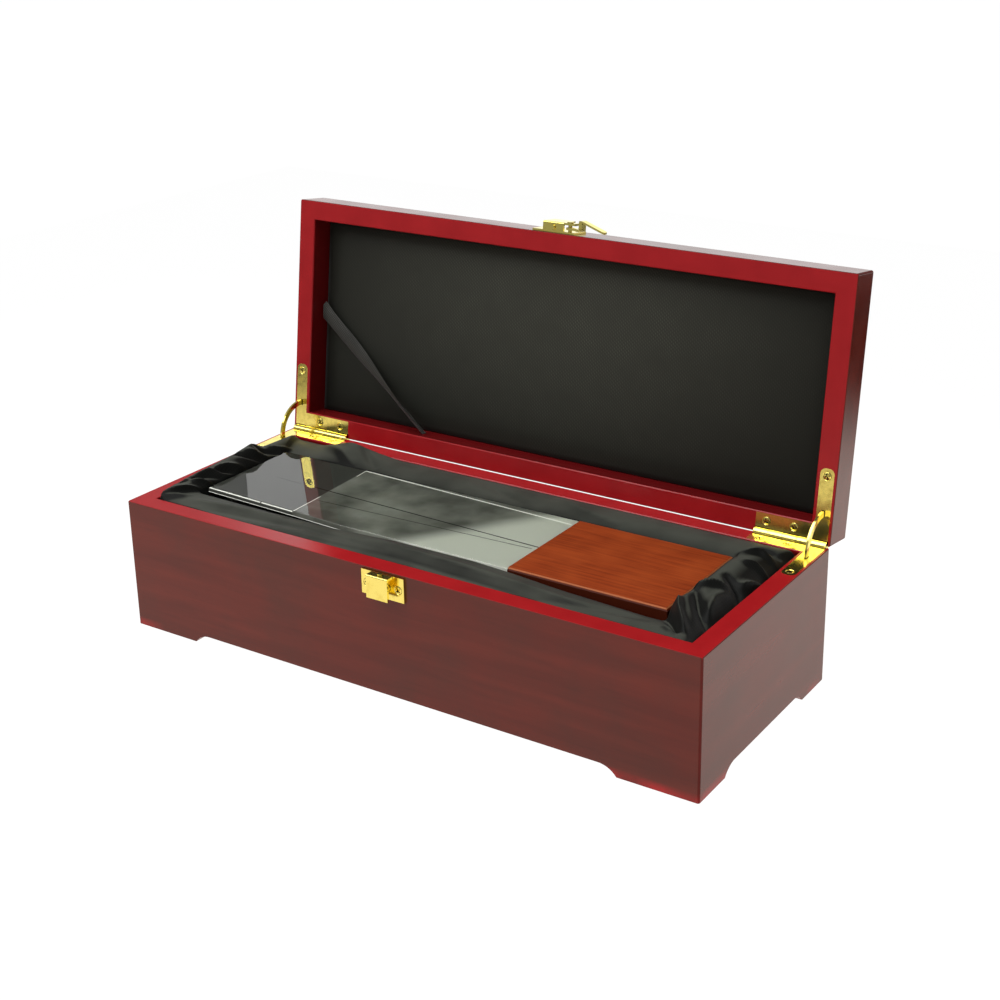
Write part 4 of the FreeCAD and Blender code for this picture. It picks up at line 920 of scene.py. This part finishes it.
def all_screw_heads(material):
    """Screws of the hinges and of the clasp. A lid's screw is turned as it stands when the lid is shut."""
    head = screw_head()
    face_front = Matrix.Rotation(math.radians(-90), 4, "X")
    face_down = Matrix.Rotation(math.pi, 4, "X")
    screw_heads("hinge_base_screws", "base", Matrix.Identity(4), head, material)
    screw_heads("hinge_lid_screws", "lid", face_down @ SHUT, head, material)
    screw_heads("clasp_keeper_screws", "base", face_front, head, material)
    screw_heads("clasp_bracket_screws", "lid", face_front @ SHUT, head, material)


def dress_nodes(finishes):
    """Give every carried-over node its finish by the record's slot."""
    slots = {part["node"]: part["material_slot"] for part in frame["record"]["subparts"]}
    for name, node in frame["nodes"].items():
        slot = slots[name]
        if slot == "rosewood_lacquer":
            slot = "lid_wood" if name.startswith("lid_") else "base_wood"
        node.data.materials.clear()
        node.data.materials.append(finishes[slot])


def set_camera():
    """Camera at the place and turn that the photograph was taken from."""
    turn, tilt, roll = (math.radians(angle) for angle in (AZIMUTH, ELEVATION, ROLL))
    back = Vector((math.sin(turn) * math.cos(tilt), -math.cos(turn) * math.cos(tilt), math.sin(tilt)))
    right = Vector((0, 0, 1)).cross(back).normalized()
    up = back.cross(right)
    across = right * math.cos(roll) + up * math.sin(roll)
    upright = up * math.cos(roll) - right * math.sin(roll)
    data = bpy.data.cameras.new("camera")
    data.lens, data.sensor_width = LENS, SENSOR
    data.shift_x, data.shift_y = SHIFT_X, SHIFT_Y
    data.clip_start, data.clip_end = 0.01, 60
    camera = bpy.data.objects.new("camera", data)
    turned = Matrix((across, upright, back)).transposed().to_4x4()
    camera.matrix_world = Matrix.Translation(Vector(CAMERA_PLACE) + Vector((0, MID_Y, 0))) @ turned
    bpy.context.scene.collection.objects.link(camera)
    bpy.context.scene.camera = camera


def stage_piece(name, points, faces, material):
    """Piece of the stage, which isn't part of the case."""
    made = mesh_object(name, points, faces, material)
    made.visible_shadow = False
    return made


def pale_floor():
    """Matt white floor that turns up into a wall far off. Only the camera sees it."""
    made, tree, place = new_material("matt_white_floor")
    mottle = add(tree, "ShaderNodeTexNoise", {"Vector": place, "Scale": 4.0})
    colour = add(tree, "ShaderNodeMix", {
        0: mottle.outputs[0], 6: srgb("#424242"), 7: srgb("#464646")}, data_type="RGBA")
    shader = add(tree, "ShaderNodeBsdfPrincipled", {
        "Base Color": colour.outputs[2], "Roughness": 0.8, "Specular IOR Level": 0.1,
        "Emission Color": srgb("#FFFFFF"), "Emission Strength": FLOOR_GLOW})
    add(tree, "ShaderNodeOutputMaterial", {"Surface": shader.outputs[0]})
    profile = [(0.01, 0), (6, 0), (6.5, 0.07), (7.0, 0.3), (7.4, 0.7), (7.7, 1.3), (7.8, 6)]
    sides = 64
    points = [(reach * math.cos(2 * math.pi * side / sides), reach * math.sin(2 * math.pi * side / sides),
               rise - FLOOR_DROP) for reach, rise in profile for side in range(sides)]
    floor = stage_piece("floor", points, grid_faces(len(profile), sides, closed=True), made)
    floor.visible_diffuse = floor.visible_glossy = floor.visible_transmission = False


def lit_paper():
    """White paper under the case as the lacquer and the brass reflect it, lit more at the right."""
    made, tree, place = new_material("lit_paper")
    axes = add(tree, "ShaderNodeSeparateXYZ", {0: place})
    glow = add(tree, "ShaderNodeMapRange", {
        "Value": axes.outputs[0], "From Min": HALF_LENGTH, "From Max": HALF_LENGTH + 0.1,
        "To Min": PAPER_LIGHT[0], "To Max": PAPER_LIGHT[1]}).outputs[0]
    for axis, (dark, bright) in PAPER_EDGES:
        fade = add(tree, "ShaderNodeMapRange", {
            "Value": axes.outputs[axis], "From Min": dark, "From Max": bright},
            interpolation_type="SMOOTHSTEP")
        glow = add(tree, "ShaderNodeMath", {0: glow, 1: fade.outputs[0]}, operation="MULTIPLY").outputs[0]
    shader = add(tree, "ShaderNodeEmission", {"Color": srgb("#FFF5EC"), "Strength": glow})
    add(tree, "ShaderNodeOutputMaterial", {"Surface": shader.outputs[0]})
    points = [(x, y, -FLOOR_DROP) for x, y in ((-1, -1), (1, -1), (1, 1), (-1, 1))]
    paper = stage_piece("lit_paper", points, [(0, 1, 2, 3)], made)
    paper.visible_camera = False


def set_lights():
    """Dim room, a large soft box overhead, a white backdrop and a small card that the brass reflects."""
    world = bpy.data.worlds.new("dim_room")
    world.use_nodes = True
    world.node_tree.nodes.clear()
    room = add(world.node_tree, "ShaderNodeBackground", {"Color": srgb("#FFFFFF"), "Strength": ROOM_LIGHT})
    add(world.node_tree, "ShaderNodeOutputWorld", {"Surface": room.outputs[0]})
    bpy.context.scene.world = world
    for name, spot, aim, size, power in LAMPS:
        data = bpy.data.lights.new(name, "AREA")
        data.shape, data.size, data.size_y, data.energy = "RECTANGLE", *size, power
        lamp = bpy.data.objects.new(name, data)
        lamp.location = spot
        lamp.rotation_euler = (Vector(aim) - Vector(spot)).to_track_quat("-Z", "Y").to_euler()
        lamp.visible_camera = False
        bpy.context.scene.collection.objects.link(lamp)
    bpy.context.scene.view_settings.view_transform = "Standard"


lid_top = float(shut_box("lid_panel")[1][2])
finishes = {
    "base_wood": rosewood_lacquer("rosewood_lacquer_base", (120, 120, 9)),
    "lid_wood": rosewood_lacquer("rosewood_lacquer_lid", (120, 14, 9), lid_top),
    "gold_plated_brass": gold_plated_brass(),
    # The satin's level colour is a painted sheen.
    "black_satin": woven_cloth("black_satin", "#0C0D0B", "#1F211D", 0.9, 0.5, 0.06, level="#484A43"),
    # Pad cloth with painted light over its crown and painted shade at its edges.
    "black_pad_cloth": woven_cloth("black_pad_cloth", "#34352F", "#52534A", 1.1, 0.6, 0.05,
                                   crown=PAD_PAINTED_LIGHT),
    "black_ribbon": woven_cloth("black_ribbon", "#2C2C2A", "#6A6A65", 0.9, 0.55, 0.1),
    "clear_acrylic": clear_acrylic(),
    "mahogany": mahogany(),
    "black_foam": black_foam(),
    "grey_card": grey_card(),
}
dress_nodes(finishes)
nest_satin(finishes["black_satin"])
nest_bed(finishes["black_satin"])
lid_lining(finishes["black_pad_cloth"])
lid_corner_ribbon(finishes["black_ribbon"])
award_plate_marks()
all_screw_heads(finishes["gold_plated_brass"])
pale_floor()
lit_paper()
set_lights()
set_camera()
